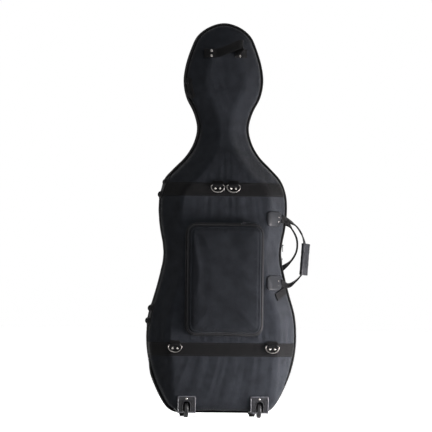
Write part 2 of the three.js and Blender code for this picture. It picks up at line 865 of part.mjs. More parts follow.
// Side handles
const patchOuterX = (height) => halfWidthAt(height) - patchInset;
const pocketEdge = pocketWidth / 2 + 2 * pocketPiping;

function handlePatch(half, height) {
  const outer = patchOuterX(height);
  const low = height - patchHeight / 2;
  const inner = Math.max(outer - patchLength, pocketEdge + patchClearance);
  const wallEnd = half.depth * wallShare;
  const [from, to] = beside(
    half, wallEnd, half.depth + patchThickness, inner, outer, low, low + patchHeight);
  return covering(half, gap, gap + patchThickness, from, to);
}

// Where a strap leaves its patch: clear of the patch's outer edge and lifted off the flank
function strapExit(half, height) {
  const section = sectionAt(half, height, -sideStrapLift, 0);
  const inset = patchInset - sideStrapGap;
  const slope = (section[2][1] - section[1][1]) / (section[2][0] - section[1][0]);
  const depth = section[1][1] + slope * (inset - section[1][0]);
  return new THREE.Vector3(halfWidthAt(height) - inset, half.side * depth, height);
}

function handlePath(half, lowerZ, reachX, reachY, shares) {
  const upper = strapExit(half, handleUpperZ);
  const lower = strapExit(half, lowerZ);
  const down = lower.clone().sub(upper).normalize();
  const reach = new THREE.Vector3(reachX, -half.side * reachY, 0);
  const flat = new THREE.Vector3().crossVectors(down, reach).normalize();
  const points = [];
  const directions = [];
  for (const [downShare, reachShare, turnShare] of shares) {
    points.push(upper.clone().lerp(lower, downShare).addScaledVector(reach, reachShare));
    const turn = turnShare * Math.PI / 2;
    directions.push(down.clone().multiplyScalar(Math.cos(turn)).addScaledVector(flat, Math.sin(turn)));
  }
  return { upper, lower, reach, flat, points, directions };
}

const baseHandle = handlePath(base, baseHandleLowerZ, baseReachX, baseReachY, baseStrapShares);
const lidHandle = handlePath(lid, lidHandleLowerZ, lidReachX, lidReachY, lidStrapShares);

function handleStrap(handle, extra) {
  return ribbon(
    handle.points, handle.directions,
    sideStrapWidth + extra, sideStrapThickness + extra, sideStrapSteps,
  );
}

// A soft wrap round the straight stretch of the base strap
function gripWrap() {
  const top = baseHandle.upper.clone().lerp(baseHandle.lower, gripStartShare).add(baseHandle.reach);
  const bottom = baseHandle.upper.clone().lerp(baseHandle.lower, gripEndShare)
    .addScaledVector(baseHandle.reach, baseStrapShares[6][1]);
  const length = top.distanceTo(bottom);
  const shape = new THREE.Shape();
  const x = gripWidth / 2 - gripCorner;
  const y = gripDepth / 2 - gripCorner;
  shape.absarc(x, y, gripCorner, 0, Math.PI / 2, false);
  shape.absarc(-x, y, gripCorner, Math.PI / 2, Math.PI, false);
  shape.absarc(-x, -y, gripCorner, Math.PI, 1.5 * Math.PI, false);
  shape.absarc(x, -y, gripCorner, 1.5 * Math.PI, 2 * Math.PI, false);
  const settings = { depth: length, bevelEnabled: false, curveSegments: cornerSteps / 2 };
  const geometry = new THREE.ExtrudeGeometry(shape, settings);
  const down = bottom.clone().sub(top).normalize();
  const across = baseHandle.flat.clone();
  across.addScaledVector(down, -across.dot(down)).normalize();
  const face = down.clone().cross(across);
  geometry.applyMatrix4(new THREE.Matrix4().makeBasis(across, face, down).setPosition(top));
  return toSolid(geometry).subtract(toSolid(handleStrap(baseHandle, 2 * gap)));
}

addPiece('base_handle_patch_upper', toGeometry(handlePatch(base, handleUpperZ)), blackVinyl);
addPiece('base_handle_patch_lower', toGeometry(handlePatch(base, baseHandleLowerZ)), blackVinyl);
addPiece('base_handle_strap', handleStrap(baseHandle, 0), webbing);
addPiece('handle_grip_wrap', toGeometry(gripWrap()), blackVinyl);
addPiece('lid_handle_patch_upper', toGeometry(handlePatch(lid, handleUpperZ)), blackVinyl);
addPiece('lid_handle_patch_lower', toGeometry(handlePatch(lid, lidHandleLowerZ)), blackVinyl);
addPiece('lid_handle_strap', handleStrap(lidHandle, 0), webbing);

// Feet on the left side, for laying the case down
function sideFoot(half, height, fromSeam, plateWidth, under) {
  const reach = sideFootSpacing / 2 + sideFootPlateMargin;
  const near = fromSeam - plateWidth / 2;
  const [low, high] = beside(
    half, near, near + plateWidth, -overrun, 0, height - reach, height + reach);
  let foot = covering(half, under, under + sideFootPlateThickness, low, high);
  for (const end of [-1, 1]) {
    const studZ = height + end * sideFootSpacing / 2;
    const widening = (halfWidthAt(studZ + gap) - halfWidthAt(studZ - gap)) / (2 * gap);
    const outward = new THREE.Vector3(-1, 0, -widening).normalize();
    const [atSeam, atWallEnd] = sectionAt(half, studZ, gap - under - sideFootPlateThickness, fromSeam);
    const draft = (atWallEnd[0] - atSeam[0]) / (atWallEnd[1] - atSeam[1]);
    const square = outward.clone().setY(half.side * draft).normalize();
    const stud = domeGeometry(sideFootStud, sideFootStudHeight, roundSteps / 2);
    stud.applyQuaternion(new THREE.Quaternion().setFromUnitVectors(new THREE.Vector3(0, 1, 0), square));
    stud.translate(-halfWidthAt(studZ), half.side * fromSeam, studZ);
    stud.translate(...outward.multiplyScalar(-atSeam[0]).toArray());
    foot = foot.add(toSolid(stud));
  }
  return foot;
}

for (const [name, half] of [['base', base], ['lid', lid]]) {
  for (const [place, height] of Object.entries(sideFootHeights)) {
    const onHead = place === 'head';
    const fromSeam = onHead ? headFootFromSeam + zipTapeWidth : sideFootFromSeam;
    const plateWidth = onHead ? headFootPlateWidth : sideFootPlateWidth;
    // The upper foot on the back half is riveted over the webbing band.
    const onBand = half === base && place === 'upper';
    const under = onBand ? gap + bandThickness + gap : gap;
    const foot = sideFoot(half, height, fromSeam, plateWidth, under);
    addPiece(`${name}_side_foot_${place}`, toGeometry(foot), footRubber);
  }
}

// Wheels
function housing(centreX) {
  const half = housingWidth / 2;
  const back = -(backDepth + gap);
  const under = shellBottom - gap;
  const outer = back - housingPlate;
  let body = block([centreX - half, outer, housingBottom], [centreX + half, back, housingTop]);
  body = body.add(block(
    [centreX - half, outer, under - housingPlate], [centreX + half, -housingFloorEnd, under]));
  body = body.add(block(
    [centreX - wellHalf, outer, under - housingPlate], [centreX + wellHalf, -wellInner, wellTop]));
  body = body.subtract(block(
    [centreX - slotHalf, -overrun, -overrun], [centreX + slotHalf, -wellInner - wellWall, wheelTop]));
  const bore = axleRadius + axleClearance;
  return body.subtract(roundBar(bore, 2 * wellHalf + gap, 'x', [centreX, -wheelBack, wheelRadius]));
}

function wheelGeometry() {
  const bore = axleRadius + axleClearance;
  const crown = treadHalf / 2;
  const profile = [
    [bore, -hubHalf], [hubRadius, -hubHalf], [hubRadius, -treadHalf],
    [wheelRadius - crown, -treadHalf], [wheelRadius, -crown], [wheelRadius, crown],
    [wheelRadius - crown, treadHalf], [hubRadius, treadHalf],
    [hubRadius, hubHalf], [bore, hubHalf], [bore, -hubHalf],
  ];
  const points = profile.map(([radius, along]) => new THREE.Vector2(radius, along));
  const geometry = new THREE.LatheGeometry(points, roundSteps);
  geometry.rotateZ(Math.PI / 2);
  return geometry;
}

for (const [name, side] of [['left', -1], ['right', 1]]) {
  const centreX = side * wheelX;
  const axis = [centreX, -wheelBack, wheelRadius];
  addPiece(`wheel_housing_${name}`, toGeometry(housing(centreX)), ribbedPlastic);
  const axle = new THREE.CylinderGeometry(axleRadius, axleRadius, 2 * wellHalf, roundSteps);
  axle.rotateZ(Math.PI / 2);
  addPiece(`wheel_axle_${name}`, axle, nickelSteel).position.set(...axis);
  addPiece(`wheel_${name}`, wheelGeometry(), wheelRubber).position.set(...axis);
}

// Feet under the lid
for (const [name, side] of [['left', -1], ['right', 1]]) {
  const height = shellBottom - gap;
  const foot = new THREE.CylinderGeometry(footRadius, footTopRadius, height, roundSteps);
  foot.rotateX(Math.PI / 2);
  addPiece(`lid_foot_${name}`, foot, footRubber)
    .position.set(side * footX, footFromSeam, height / 2);
}

// Neck cradle and strap, and the two pads that the cello's back lies on
const bedSkin = shellWall + gap + padding + gap;
const bedDepth = backDepth - bedSkin;

function bedBlock(zLow, zHigh, top) {
  const room = solidHalf(base, bedSkin, 0);
  return room.intersect(block([-overrun, -overrun, zLow], [overrun, -top, zHigh]));
}

function neckCradle() {
  const body = bedBlock(cradleZ - cradleHeight / 2, cradleZ + cradleHeight / 2, cradleTop);
  return body.subtract(roundBar(cradleNotch, overrun, 'z', [0, -cradleTop, cradleZ]));
}
addPiece('neck_cradle', toGeometry(neckCradle()), darkFoam);

function neckStrap() {
  const y = -cradleTop + neckStrapSeat + neckStrapThickness / 2;
  const points = neckStrapShares.map(([spanShare, archShare]) => new THREE.Vector3(
    spanShare * neckStrapHalfSpan, y + archShare * neckStrapArch, cradleZ));
  const directions = points.map(() => new THREE.Vector3(0, 0, 1));
  return ribbon(points, directions, neckStrapWidth, neckStrapThickness, topStrapSteps / 2);
}
addPiece('neck_strap', neckStrap(), webbing);

for (const [name, height] of [['upper', upperPadZ], ['lower', lowerPadZ]]) {
  const pad = bedBlock(height - padLength / 2, height + padLength / 2, bedDepth - padRise);
  addPiece(`${name}_body_pad`, toGeometry(pad), darkFoam);
}

// Bow holders in the lid: turning catches for the frogs and a sleeve for the tips
const lidFloor = lidDepth - bedSkin;

function bowTurner() {
  const post = roundBar(turnerRadius, turnerHeight, 'y', [0, -turnerHeight / 2, 0]);
  const near = -turnerHeight;
  const arm = block(
    [-turnerArm / 2, near, -turnerArmWidth / 2],
    [turnerArm / 2, near + turnerArmHeight, turnerArmWidth / 2],
  );
  return post.add(arm);
}
for (const [name, side] of [['left', -1], ['right', 1]]) {
  addPiece(`bow_turner_${name}`, toGeometry(bowTurner()), ribbedPlastic)
    .position.set(side * turnerX, lidFloor, turnerZ);
}

function bowSleeve() {
  const half = sleeveWidth / 2;
  const outer = block(
    [-half, lidFloor - sleeveDepth, sleeveZ], [half, lidFloor, sleeveZ + sleeveHeight]);
  const room = block(
    [-half + sleeveWall, lidFloor - sleeveDepth + sleeveWall, sleeveZ - overrun],
    [half - sleeveWall, lidFloor - sleeveWall, sleeveZ + sleeveHeight - sleeveWall],
  );
  return outer.subtract(room);
}
addPiece('bow_tip_sleeve', toGeometry(bowSleeve()), plushLining);

// The origin is put under the middle of the case, on the floor.
caseGroup.updateMatrixWorld(true);
const extent = new THREE.Box3().setFromObject(caseGroup, true);
const middle = extent.getCenter(new THREE.Vector3());
const shift = new THREE.Vector3(-middle.x, -middle.y, -extent.min.z);
caseGroup.position.copy(shift);

function show(label, ...values) {
  console.log(label, values.map((value) => value.toFixed(3)).join(' '));
}
const [hingeBottom, hingeTop] = hingeLine();
show('shift', ...shift.toArray());
show('hinge bottom', ...hingeBottom.clone().add(shift).toArray());
show('hinge top', ...hingeTop.clone().add(shift).toArray());
show('base handle upper', ...baseHandle.upper.clone().add(shift).toArray());
show('base handle lower', ...baseHandle.lower.clone().add(shift).toArray());
show('lid handle upper', ...lidHandle.upper.clone().add(shift).toArray());
show('lid handle lower', ...lidHandle.lower.clone().add(shift).toArray());
show('ring bar y', ringBarY + shift.y);
show('zip pull upper', sliderPlace(upperSliderZ)[0] + pullPivot + shift.x, shift.y, upperSliderZ);
show('zip pull lower', sliderPlace(lowerSliderZ)[0] + pullPivot + shift.x, shift.y, lowerSliderZ);
show('pocket pull', pocketSliderX + shift.x, pocketSliderY + shift.y, pocketTop + gap + pullPivot);
show('pocket hinge', shift.x, -flapBack + shift.y, pocketZ - pocketHeight / 2);
show('bed face', -(bedDepth + gap) + shift.y);
show('lid floor', lidFloor + gap + shift.y);

export default caseGroup;
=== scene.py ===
"""A hard case for a full size cello, dressed in woven polyester, standing upright and seen from the back.

Shapes are worked out in millimetres in the case's own frame: X across from the middle line, Y from the
seam plane (the back half is on the -Y side), Z up from the floor. They go into metres when meshed.
"""

import math
from functools import partial

import bmesh
import bpy
import numpy as np
from bpy.props import FloatProperty, FloatVectorProperty, IntProperty, PointerProperty
from mathutils import Matrix, Vector


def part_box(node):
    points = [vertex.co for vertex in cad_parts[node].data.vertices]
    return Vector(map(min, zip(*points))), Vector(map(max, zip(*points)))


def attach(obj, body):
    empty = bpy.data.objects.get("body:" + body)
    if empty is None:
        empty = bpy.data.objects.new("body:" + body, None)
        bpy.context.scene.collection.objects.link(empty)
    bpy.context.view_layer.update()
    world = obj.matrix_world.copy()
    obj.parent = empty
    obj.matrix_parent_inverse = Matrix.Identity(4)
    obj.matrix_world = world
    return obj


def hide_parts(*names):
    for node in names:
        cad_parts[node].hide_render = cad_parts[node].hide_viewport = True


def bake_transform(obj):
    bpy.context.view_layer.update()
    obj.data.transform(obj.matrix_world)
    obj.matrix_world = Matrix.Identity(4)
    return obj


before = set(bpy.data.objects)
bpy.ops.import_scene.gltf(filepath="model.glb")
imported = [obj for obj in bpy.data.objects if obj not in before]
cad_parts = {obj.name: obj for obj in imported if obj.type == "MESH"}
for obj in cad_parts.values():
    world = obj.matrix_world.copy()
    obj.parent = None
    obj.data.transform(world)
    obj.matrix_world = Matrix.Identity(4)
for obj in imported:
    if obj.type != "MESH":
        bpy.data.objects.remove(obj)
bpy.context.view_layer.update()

bl_info = {
    "name": "Cello hard case",
    "version": (1, 0, 0),
    "blender": (4, 5, 0),
    "location": "View3D > Sidebar > Cello case",
    "description": "Builds a cello hard case's covers, trims, fittings and linings round its packed solids",
    "category": "Object",
}

MM = 0.001
GAP = 0.3

# The middle line and the seam plane in the row frame, from the back shell's own box
SHELL_LOW, SHELL_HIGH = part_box("base_shell")
ORIGIN = np.array([(SHELL_LOW.x + SHELL_HIGH.x) / 2 / MM, SHELL_HIGH.y / MM + GAP / 2, 0.0])

RIGHT, OUT, UP = np.array([[1.0, 0.0, 0.0], [0.0, -1.0, 0.0], [0.0, 0.0, 1.0]])

# Outline of the seam: height and half width, as shares of the case's height and half width
CASE_HEIGHT = 1330.0
GROUND = 20.0
HALF_WIDTH = 257.0
OUTLINE_SHARES = np.array([
    (0.000, 0.600), (0.008, 0.672), (0.020, 0.728), (0.042, 0.795), (0.100, 0.925), (0.150, 0.985),
    (0.200, 1.000), (0.250, 0.974), (0.300, 0.900), (0.350, 0.832), (0.395, 0.786), (0.425, 0.790),
    (0.475, 0.836), (0.520, 0.855), (0.560, 0.838), (0.595, 0.768), (0.625, 0.630), (0.655, 0.480),
    (0.690, 0.375), (0.730, 0.331), (0.770, 0.380), (0.810, 0.482), (0.850, 0.520), (0.890, 0.496),
    (0.935, 0.424), (0.967, 0.345), (0.990, 0.195), (1.000, 0.000),
])
BASE = {"name": "base", "side": -1.0, "depth": 130.0}
LID = {"name": "lid", "side": 1.0, "depth": 150.0}
HEAD_DEPTH = 76.0
SHOULDER = (850.0, 1010.0)
SEAM_REVEAL = 4.0
WALL_DRAFT = 5.0
FLANK_RUN = (16.0, 62.0)
WALL_SHARE = (0.9, 0.5)
BOTTOM_BLEND = 160.0
SHELL_WALL = 8.0
LINING = 14.0
HINGE_Z = (200.0, 770.0)
HINGE_WIDTH = 44.0
HINGE_FACE = 1.7
HALF_STATIONS = 250
# Steps of a half's surface: down the wall, round its corner, over the flank, round its corner, to the middle
SKIN_STEPS = (9, 7, 13, 9, 30)
INNER_STEPS = (4, 3, 4, 3, 6)
# Where the middle line starts and ends, between the round ends of the panel
SPINE_Z = (175.0, 1222.0)

BAND_HEIGHT = 46.0
BANDS = {"upper_band": 780.0, "lower_band": 233.0}
BAND_START = 24.0
BAND_THICKNESS = 1.5
BAND_FACE = BASE["depth"] + GAP + BAND_THICKNESS

WHEEL_X = 125.0
WELL_HALF = 17.0
WELL_TOP = 60.5
WELL_INNER = 78.5


# Numbers and curves

def linear(code):
    """An sRGB hex colour as linear red, green and blue."""
    parts = np.array([int(code[i:i + 2], 16) / 255 for i in (0, 2, 4)])
    return tuple(np.where(parts <= 0.04045, parts / 12.92, ((parts + 0.055) / 1.055) ** 2.4))


def unit(v):
    """Vectors divided by their lengths."""
    return v / np.maximum(np.linalg.norm(v, axis=-1, keepdims=True), 1e-9)


def ease(x, low, high):
    """0 below low and 1 above high, with level ends: three squares less two cubes of the share between."""
    t = np.clip((x - low) / (high - low), 0, 1)
    return t * t * (3 - 2 * t)


def mix(a, b, t):
    """The value a share t of the way from a to b."""
    return a + (b - a) * t


def joined(*columns):
    """Columns of numbers side by side as points, each spread to the shape of the largest."""
    return np.stack(np.broadcast_arrays(*columns), -1)


def read_at(where, known, values):
    """Each column of values, known at some places and read by straight lines at others."""
    return joined(*(np.interp(where, known, column) for column in values.T))


def lengths(points):
    """Distance along a polyline at each of its points."""
    return np.r_[0, np.cumsum(np.linalg.norm(np.diff(points, axis=0), axis=1))]


def at_lengths(points, distances):
    """Points of a polyline at given distances along it."""
    return read_at(distances, lengths(points), points)


def spaced(points, count):
    """Equally spaced points of a polyline."""
    return at_lengths(points, np.linspace(0, lengths(points)[-1], count))


def through(points, steps=24):
    """Centripetal Catmull-Rom curve: each span is a cubic through its ends, whose slopes come from the
    points on both sides, spaced by the square root of their distances."""
    points = np.asarray(points, float)
    far = np.vstack([2 * points[0] - points[1], points, 2 * points[-1] - points[-2]])
    p0, p1, p2, p3 = far[:-3], far[1:-2], far[2:-1], far[3:]
    d0, d1, d2 = (np.sqrt(np.linalg.norm(b - a, axis=1))[:, None] for a, b in ((p0, p1), (p1, p2), (p2, p3)))
    m1 = ((p1 - p0) / d0 - (p2 - p0) / (d0 + d1) + (p2 - p1) / d1) * d1
    m2 = ((p2 - p1) / d1 - (p3 - p1) / (d1 + d2) + (p3 - p2) / d2) * d1
    t = (np.arange(steps) / steps)[None, :, None]
    a, b, c, d = (x[:, None] for x in (p1, m1, -3 * p1 + 3 * p2 - 2 * m1 - m2, 2 * p1 - 2 * p2 + m1 + m2))
    spans = a + b * t + c * t ** 2 + d * t ** 3
    return np.vstack([spans.reshape(-1, points.shape[1]), points[-1]])


def blurred(values, spread):
    """A closed run of values, averaged with a Gaussian of that many steps."""
    reach = int(4 * spread) + 1
    steps = np.arange(-reach, reach + 1)
    weight = np.exp(-0.5 * (steps / spread) ** 2)
    weight /= weight.sum()
    padded = np.concatenate([values[-reach:], values, values[:reach]])
    return np.stack([np.convolve(column, weight, "valid") for column in padded.T], -1)


def ripple(x, seed, shortest, longest, waves=7):
    """A smooth wavering line: sines of several lengths and phases, added and scaled to about 1."""
    rng = np.random.default_rng(seed)
    size = np.geomspace(shortest, longest, waves) * rng.uniform(0.9, 1.1, waves)
    phase = rng.uniform(0, 2 * math.pi, waves)
    weight = rng.uniform(0.5, 1.0, waves)
    total = sum(w * np.sin(2 * math.pi * x / s + p) for w, s, p in zip(weight, size, phase))
    return total / np.sqrt((weight ** 2).sum() / 2) / 1.8


# Mesh building

def grid(points, uv=None, finish=0):
    """Quads over a grid of points, with the grid's own distances as its map when none is given."""
    rows, cols = points.shape[:2]
    if uv is None:
        down = np.linalg.norm(np.diff(points, axis=0), axis=-1).mean(1)
        over = np.linalg.norm(np.diff(points, axis=1), axis=-1).mean(0)
        uv = np.stack(np.meshgrid(np.r_[0, np.cumsum(down)], np.r_[0, np.cumsum(over)], indexing="ij"), -1)
    first = (np.arange(rows - 1)[:, None] * cols + np.arange(cols - 1)).ravel()
    faces = np.stack([first, first + 1, first + cols + 1, first + cols], -1)
    return points.reshape(-1, 3), faces, np.asarray(uv, float).reshape(-1, 2), finish


def capped(rings):
    """Rings with their first and last drawn in to their middles, which closes both ends."""
    first = np.broadcast_to(rings[:1].mean(1, keepdims=True), rings[:1].shape)
    last = np.broadcast_to(rings[-1:].mean(1, keepdims=True), rings[-1:].shape)
    return np.concatenate([first, rings, last])


def looped(ring):
    """A ring with its first point again at its end."""
    return np.concatenate([ring, ring[..., :1, :]], axis=-2)


def circle(radius, steps):
    """Points round a circle: the cosine and sine of equal turns, times its radius."""
    turn = np.linspace(0, 2 * math.pi, steps + 1)
    return radius * joined(np.cos(turn), np.sin(turn))


def quarter_round(share):
    """The height of a quarter circle at a share of the way in: the root of one less the rest squared."""
    return np.sqrt(np.clip(1 - (1 - np.clip(share, 0, 1)) ** 2, 0, 1))


def round_corners(low, high, radius, steps):
    """The quarter circles of a rounded rectangle, from its lower right corner round to its lower left."""
    (left, foot), (right, top) = low, high
    quarter = np.linspace(0, math.pi / 2, steps)
    return np.concatenate([
        joined(x + radius * np.cos(start + quarter), z + radius * np.sin(start + quarter))
        for x, z, start in (
            (right - radius, foot + radius, -math.pi / 2), (right - radius, top - radius, 0),
            (left + radius, top - radius, math.pi / 2), (left + radius, foot + radius, math.pi))])


def rounded_outline(low, high, radius, count=64):
    """A rounded rectangle as a closed loop of equal steps, and its middle."""
    corners = round_corners(low, high, radius, 8)
    return spaced(np.vstack([corners, corners[:1]]), count + 1), (np.asarray(low) + high) / 2


def carried(path, across, out, profile):
    """A profile carried along a path: path point, plus its first number across and its second out."""
    across, out = (np.broadcast_to(way, path.shape)[:, None] for way in (across, out))
    profile = np.broadcast_to(profile, (len(path), *profile.shape[-2:]))
    return path[:, None] + profile[..., :1] * across + profile[..., 1:] * out


def wire_loop(path, radius, sides, out):
    """A round wire along a closed path, whose rings are turned so that they never twist far from one way."""
    along = unit(np.gradient(path, axis=0))
    along[0] = along[-1] = unit(path[1] - path[-2])
    across = unit(np.cross(along, out))
    return grid(carried(path, across, np.cross(across, along), circle(radius, sides)))


def lathe(profile, steps=24, axis=UP, centre=(0.0, 0.0, 0.0), finish=0):
    """A profile of radius and height, turned round an axis through a centre."""
    profile = np.asarray(profile, float)
    axis = unit(np.asarray(axis, float))
    helper = RIGHT if abs(axis[0]) < 0.9 else -OUT
    a = unit(np.cross(axis, helper))
    b = np.cross(axis, a)
    turn = np.linspace(0, 2 * math.pi, steps + 1)[:, None]
    ring = np.cos(turn) * a + np.sin(turn) * b
    points = profile[:, :1, None] * ring + profile[:, 1:, None] * axis + np.asarray(centre, float)
    return grid(points, finish=finish)


def mirrored(profile):
    """A profile of radius and height, followed by its mirror image on the other side of height zero."""
    return np.vstack([profile, np.array(profile)[::-1] * [1, -1]])


def dome(radius, height, steps=5):
    """Profile of a low dome with a rolled foot, from its crown to the middle of its flat side: a quarter turn
    of an ellipse."""
    t = np.linspace(0, math.pi / 2, steps)
    return np.vstack([joined(radius * np.sin(t), height * np.cos(t)), [radius, -0.4], [0, -0.4]])


def rivet(centre, out, radius, height, finish=1, steps=20):
    """A domed rivet head that stands on a surface."""
    return lathe(dome(radius, height), steps, out, centre, finish)


def rounded_block(low, high, radius, steps=3):
    """A box with rounded edges: a sphere's grid, each octant of it moved out to its own corner."""
    low, high = np.asarray(low, float), np.asarray(high, float)
    half, centre = (high - low) / 2, (high + low) / 2
    core = np.maximum(half - radius, 0)
    quarter = np.linspace(0, math.pi / 2, steps + 1)
    turn = np.concatenate([quarter + q * math.pi / 2 for q in range(4)])
    tilt = np.concatenate([quarter[::-1], -quarter])[:, None]
    n = joined(np.cos(tilt) * np.cos(turn), np.cos(tilt) * np.sin(turn), np.sin(tilt))
    sign_x, sign_y = (np.repeat(signs, steps + 1) for signs in ([1, -1, -1, 1], [1, 1, -1, -1]))
    sign = joined(sign_x, sign_y, np.repeat([1, -1], steps + 1)[:, None])
    return grid(capped(looped(centre + sign * core + n * radius)))


def scattered(shape, origins, x, y, z, finish=0):
    """Copies of a small shape, each at its own origin and along its own three directions."""
    verts, faces, uv, _ = shape
    x, y, z = (np.broadcast_to(way, origins.shape)[:, None] for way in (x, y, z))
    places = origins[:, None] + verts[:, :1] * x + verts[:, 1:2] * y + verts[:, 2:] * z
    shift = np.arange(len(origins))[:, None, None] * len(verts)
    return places.reshape(-1, 3), (faces + shift).reshape(-1, 4), np.tile(uv, (len(origins), 1)), finish


def edge_steps(length, radius, count):
    """Distances across a piece and how high it stands there: a quarter circle at each end, level between."""
    turn = np.linspace(0, math.pi / 2, 5)
    rise = radius * (1 - np.cos(turn))
    middle = np.linspace(radius, length - radius, count + 2)[1:-1]
    at = np.r_[rise, middle, length - rise[::-1]]
    lift = np.r_[np.sin(turn), np.ones(count), np.sin(turn)[::-1]]
    return at, lift


def slab(points, normals, low, high, lift_u, lift_v, uv=None):
    """A closed flat piece on a surface: its underside at low, its top at high inside rounded borders."""
    top = points + normals * (low + (high - low) * (lift_u[:, None] * lift_v))[..., None]
    return [grid(top, uv), grid(points + normals * low, uv)]


def grid_normals(points, towards):
    """Unit normals of a grid, the cross product of its two slopes, on the side that a direction points to."""
    n = np.cross(np.gradient(points, axis=0), np.gradient(points, axis=1))
    n = unit(np.where(np.linalg.norm(n, axis=-1, keepdims=True) < 1e-9, towards, n))
    return n * np.sign((n * towards).sum(-1, keepdims=True) + 1e-12)


def smooth(mesh, sharp):
    """Shades a mesh smooth, but for its edges that are sharper than an angle in degrees."""
    mesh.shade_smooth()
    mesh.set_sharp_from_angle(angle=math.radians(sharp))


def placed(name, data):
    """A new object in the scene, for a mesh, a lamp or a camera."""
    made = bpy.data.objects.new(name, data)
    bpy.context.scene.collection.objects.link(made)
    return made


def make(name, parts, finishes, sharp=40):
    """Joins parts into one mesh in metres, welds their shared borders and turns its faces outwards."""
    points, quads, maps, slots = zip(*parts)
    first = np.cumsum([0, *map(len, points)])
    faces = np.vstack([part + start for part, start in zip(quads, first)])
    mesh = bpy.data.meshes.new(name)
    mesh.from_pydata(((np.vstack(points) + ORIGIN) * MM).tolist(), [], faces.tolist())
    layer = mesh.uv_layers.new(name="Weave")
    layer.data.foreach_set("uv", (np.vstack(maps)[faces.ravel()] * MM).ravel())
    slots = np.repeat(slots, [len(part) for part in quads])
    mesh.polygons.foreach_set("material_index", slots.astype(np.int32))
    for finish in finishes:
        mesh.materials.append(bpy.data.materials[finish])
    work = bmesh.new()
    work.from_mesh(mesh)
    bmesh.ops.remove_doubles(work, verts=work.verts, dist=2e-6)
    bmesh.ops.dissolve_degenerate(work, edges=work.edges, dist=1e-7)
    bmesh.ops.recalc_face_normals(work, faces=work.faces)
    work.to_mesh(mesh)
    work.free()
    smooth(mesh, sharp)
    return placed(name, mesh)


def settle(made):
    """Applies every modifier of a piece."""
    graph = bpy.context.evaluated_depsgraph_get()
    shape = made.evaluated_get(graph)
    mesh = bpy.data.meshes.new_from_object(shape, preserve_all_data_layers=True, depsgraph=graph)
    made.modifiers.clear()
    old = made.data
    made.data = mesh
    bpy.data.meshes.remove(old)
    return made


def combine(made, tool, operation):
    """Cuts or joins a piece with a tool, which is then removed."""
    change = made.modifiers.new(operation, "BOOLEAN")
    change.operation = operation
    change.solver = "MANIFOLD"
    change.object = tool
    settle(made)
    if not made.data.polygons:
        raise RuntimeError(f"{made.name} was lost in a {operation.lower()}")
    bpy.data.objects.remove(tool)
    return made


def dressed(made, body, stands_for=()):
    """Lets a finished piece ride on its body in place of its solids."""
    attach(made, body)
    if stands_for:
        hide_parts(*stands_for)
    return made


def soften(made, width, segments):
    """Rounds a piece's edges with a bevel, its width in millimetres."""
    bevel = made.modifiers.new("Rounding", "BEVEL")
    bevel.width = width * MM
    bevel.segments = segments
    bevel.limit_method = "ANGLE"
    bevel.angle_limit = math.radians(35)
    bevel.harden_normals = False
    return settle(made)


# The case's surface

def seam_loop():
    """Stations round the seam, from the middle of the foot up the right side, over the head and down the
    left side: the outline's curve with its foot corners eased, at equal distances, and its outward normals."""
    right = OUTLINE_SHARES[:, ::-1] * [HALF_WIDTH, CASE_HEIGHT] + [0, GROUND]
    dense = through(np.vstack([right, right[-2::-1] * [-1, 1]]))
    half = np.vstack([[0, GROUND], dense[:len(dense) // 2 + 1]])
    loop = np.vstack([half, half[-2::-1] * [-1, 1]])
    fine = spaced(loop, 3201)[:-1]
    eased = blurred(fine, 5)
    eased[:, 1] = np.maximum(eased[:, 1], GROUND)
    along = blurred(np.roll(eased, -1, 0) - np.roll(eased, 1, 0), 5)
    outward = unit(joined(along[:, 1], -along[:, 0]))
    whole = np.vstack([np.hstack([eased, outward]), np.hstack([eased[:1], outward[:1]])])
    distance = lengths(whole[:, :2])
    at = np.linspace(0, distance[-1], 2 * HALF_STATIONS + 1)
    stations = read_at(at, distance, whole)
    return stations[:, :2], unit(stations[:, 2:]), at


SEAM, SEAM_OUT, SEAM_AT = seam_loop()


def depth_at(half, height):
    """A half's depth, which eases from the body's to the head's over the shoulder."""
    return mix(half["depth"], HEAD_DEPTH, ease(height, *SHOULDER))


def section(half, height, skin, rim):
    """Cross-section of a half at each height, as inset from the outline and depth from the seam: where its
    wall starts, where the wall meets the flank, and the flank the panel. Each line is moved in by skin."""
    up = ease(height, GROUND, GROUND + BOTTOM_BLEND)
    depth = depth_at(half, height)
    corner = np.stack([
        joined(SEAM_REVEAL, 0 * depth),
        joined(SEAM_REVEAL + WALL_DRAFT * up, depth * mix(*WALL_SHARE, up)),
        joined(SEAM_REVEAL + mix(*FLANK_RUN, up), depth),
    ], 1)
    run = np.diff(corner, axis=1)
    inward = unit(joined(run[..., 1], -run[..., 0]))
    start = corner[:, :2] + inward * skin
    rim_share = (rim - start[:, 0, 1]) / run[:, 0, 1]
    at_rim = start[:, 0] + run[:, 0] * rim_share[:, None]
    gap = start[:, 1] - start[:, 0]
    turn = run[:, 0, 0] * run[:, 1, 1] - run[:, 0, 1] * run[:, 1, 0]
    share = (gap[:, 0] * run[:, 1, 1] - gap[:, 1] * run[:, 1, 0]) / turn
    at_bend = start[:, 0] + run[:, 0] * share[:, None]
    panel_share = (depth - skin - start[:, 1, 1]) / run[:, 1, 1]
    at_panel = start[:, 1] + run[:, 1] * panel_share[:, None]
    return np.stack([at_rim, at_bend, at_panel], 1)


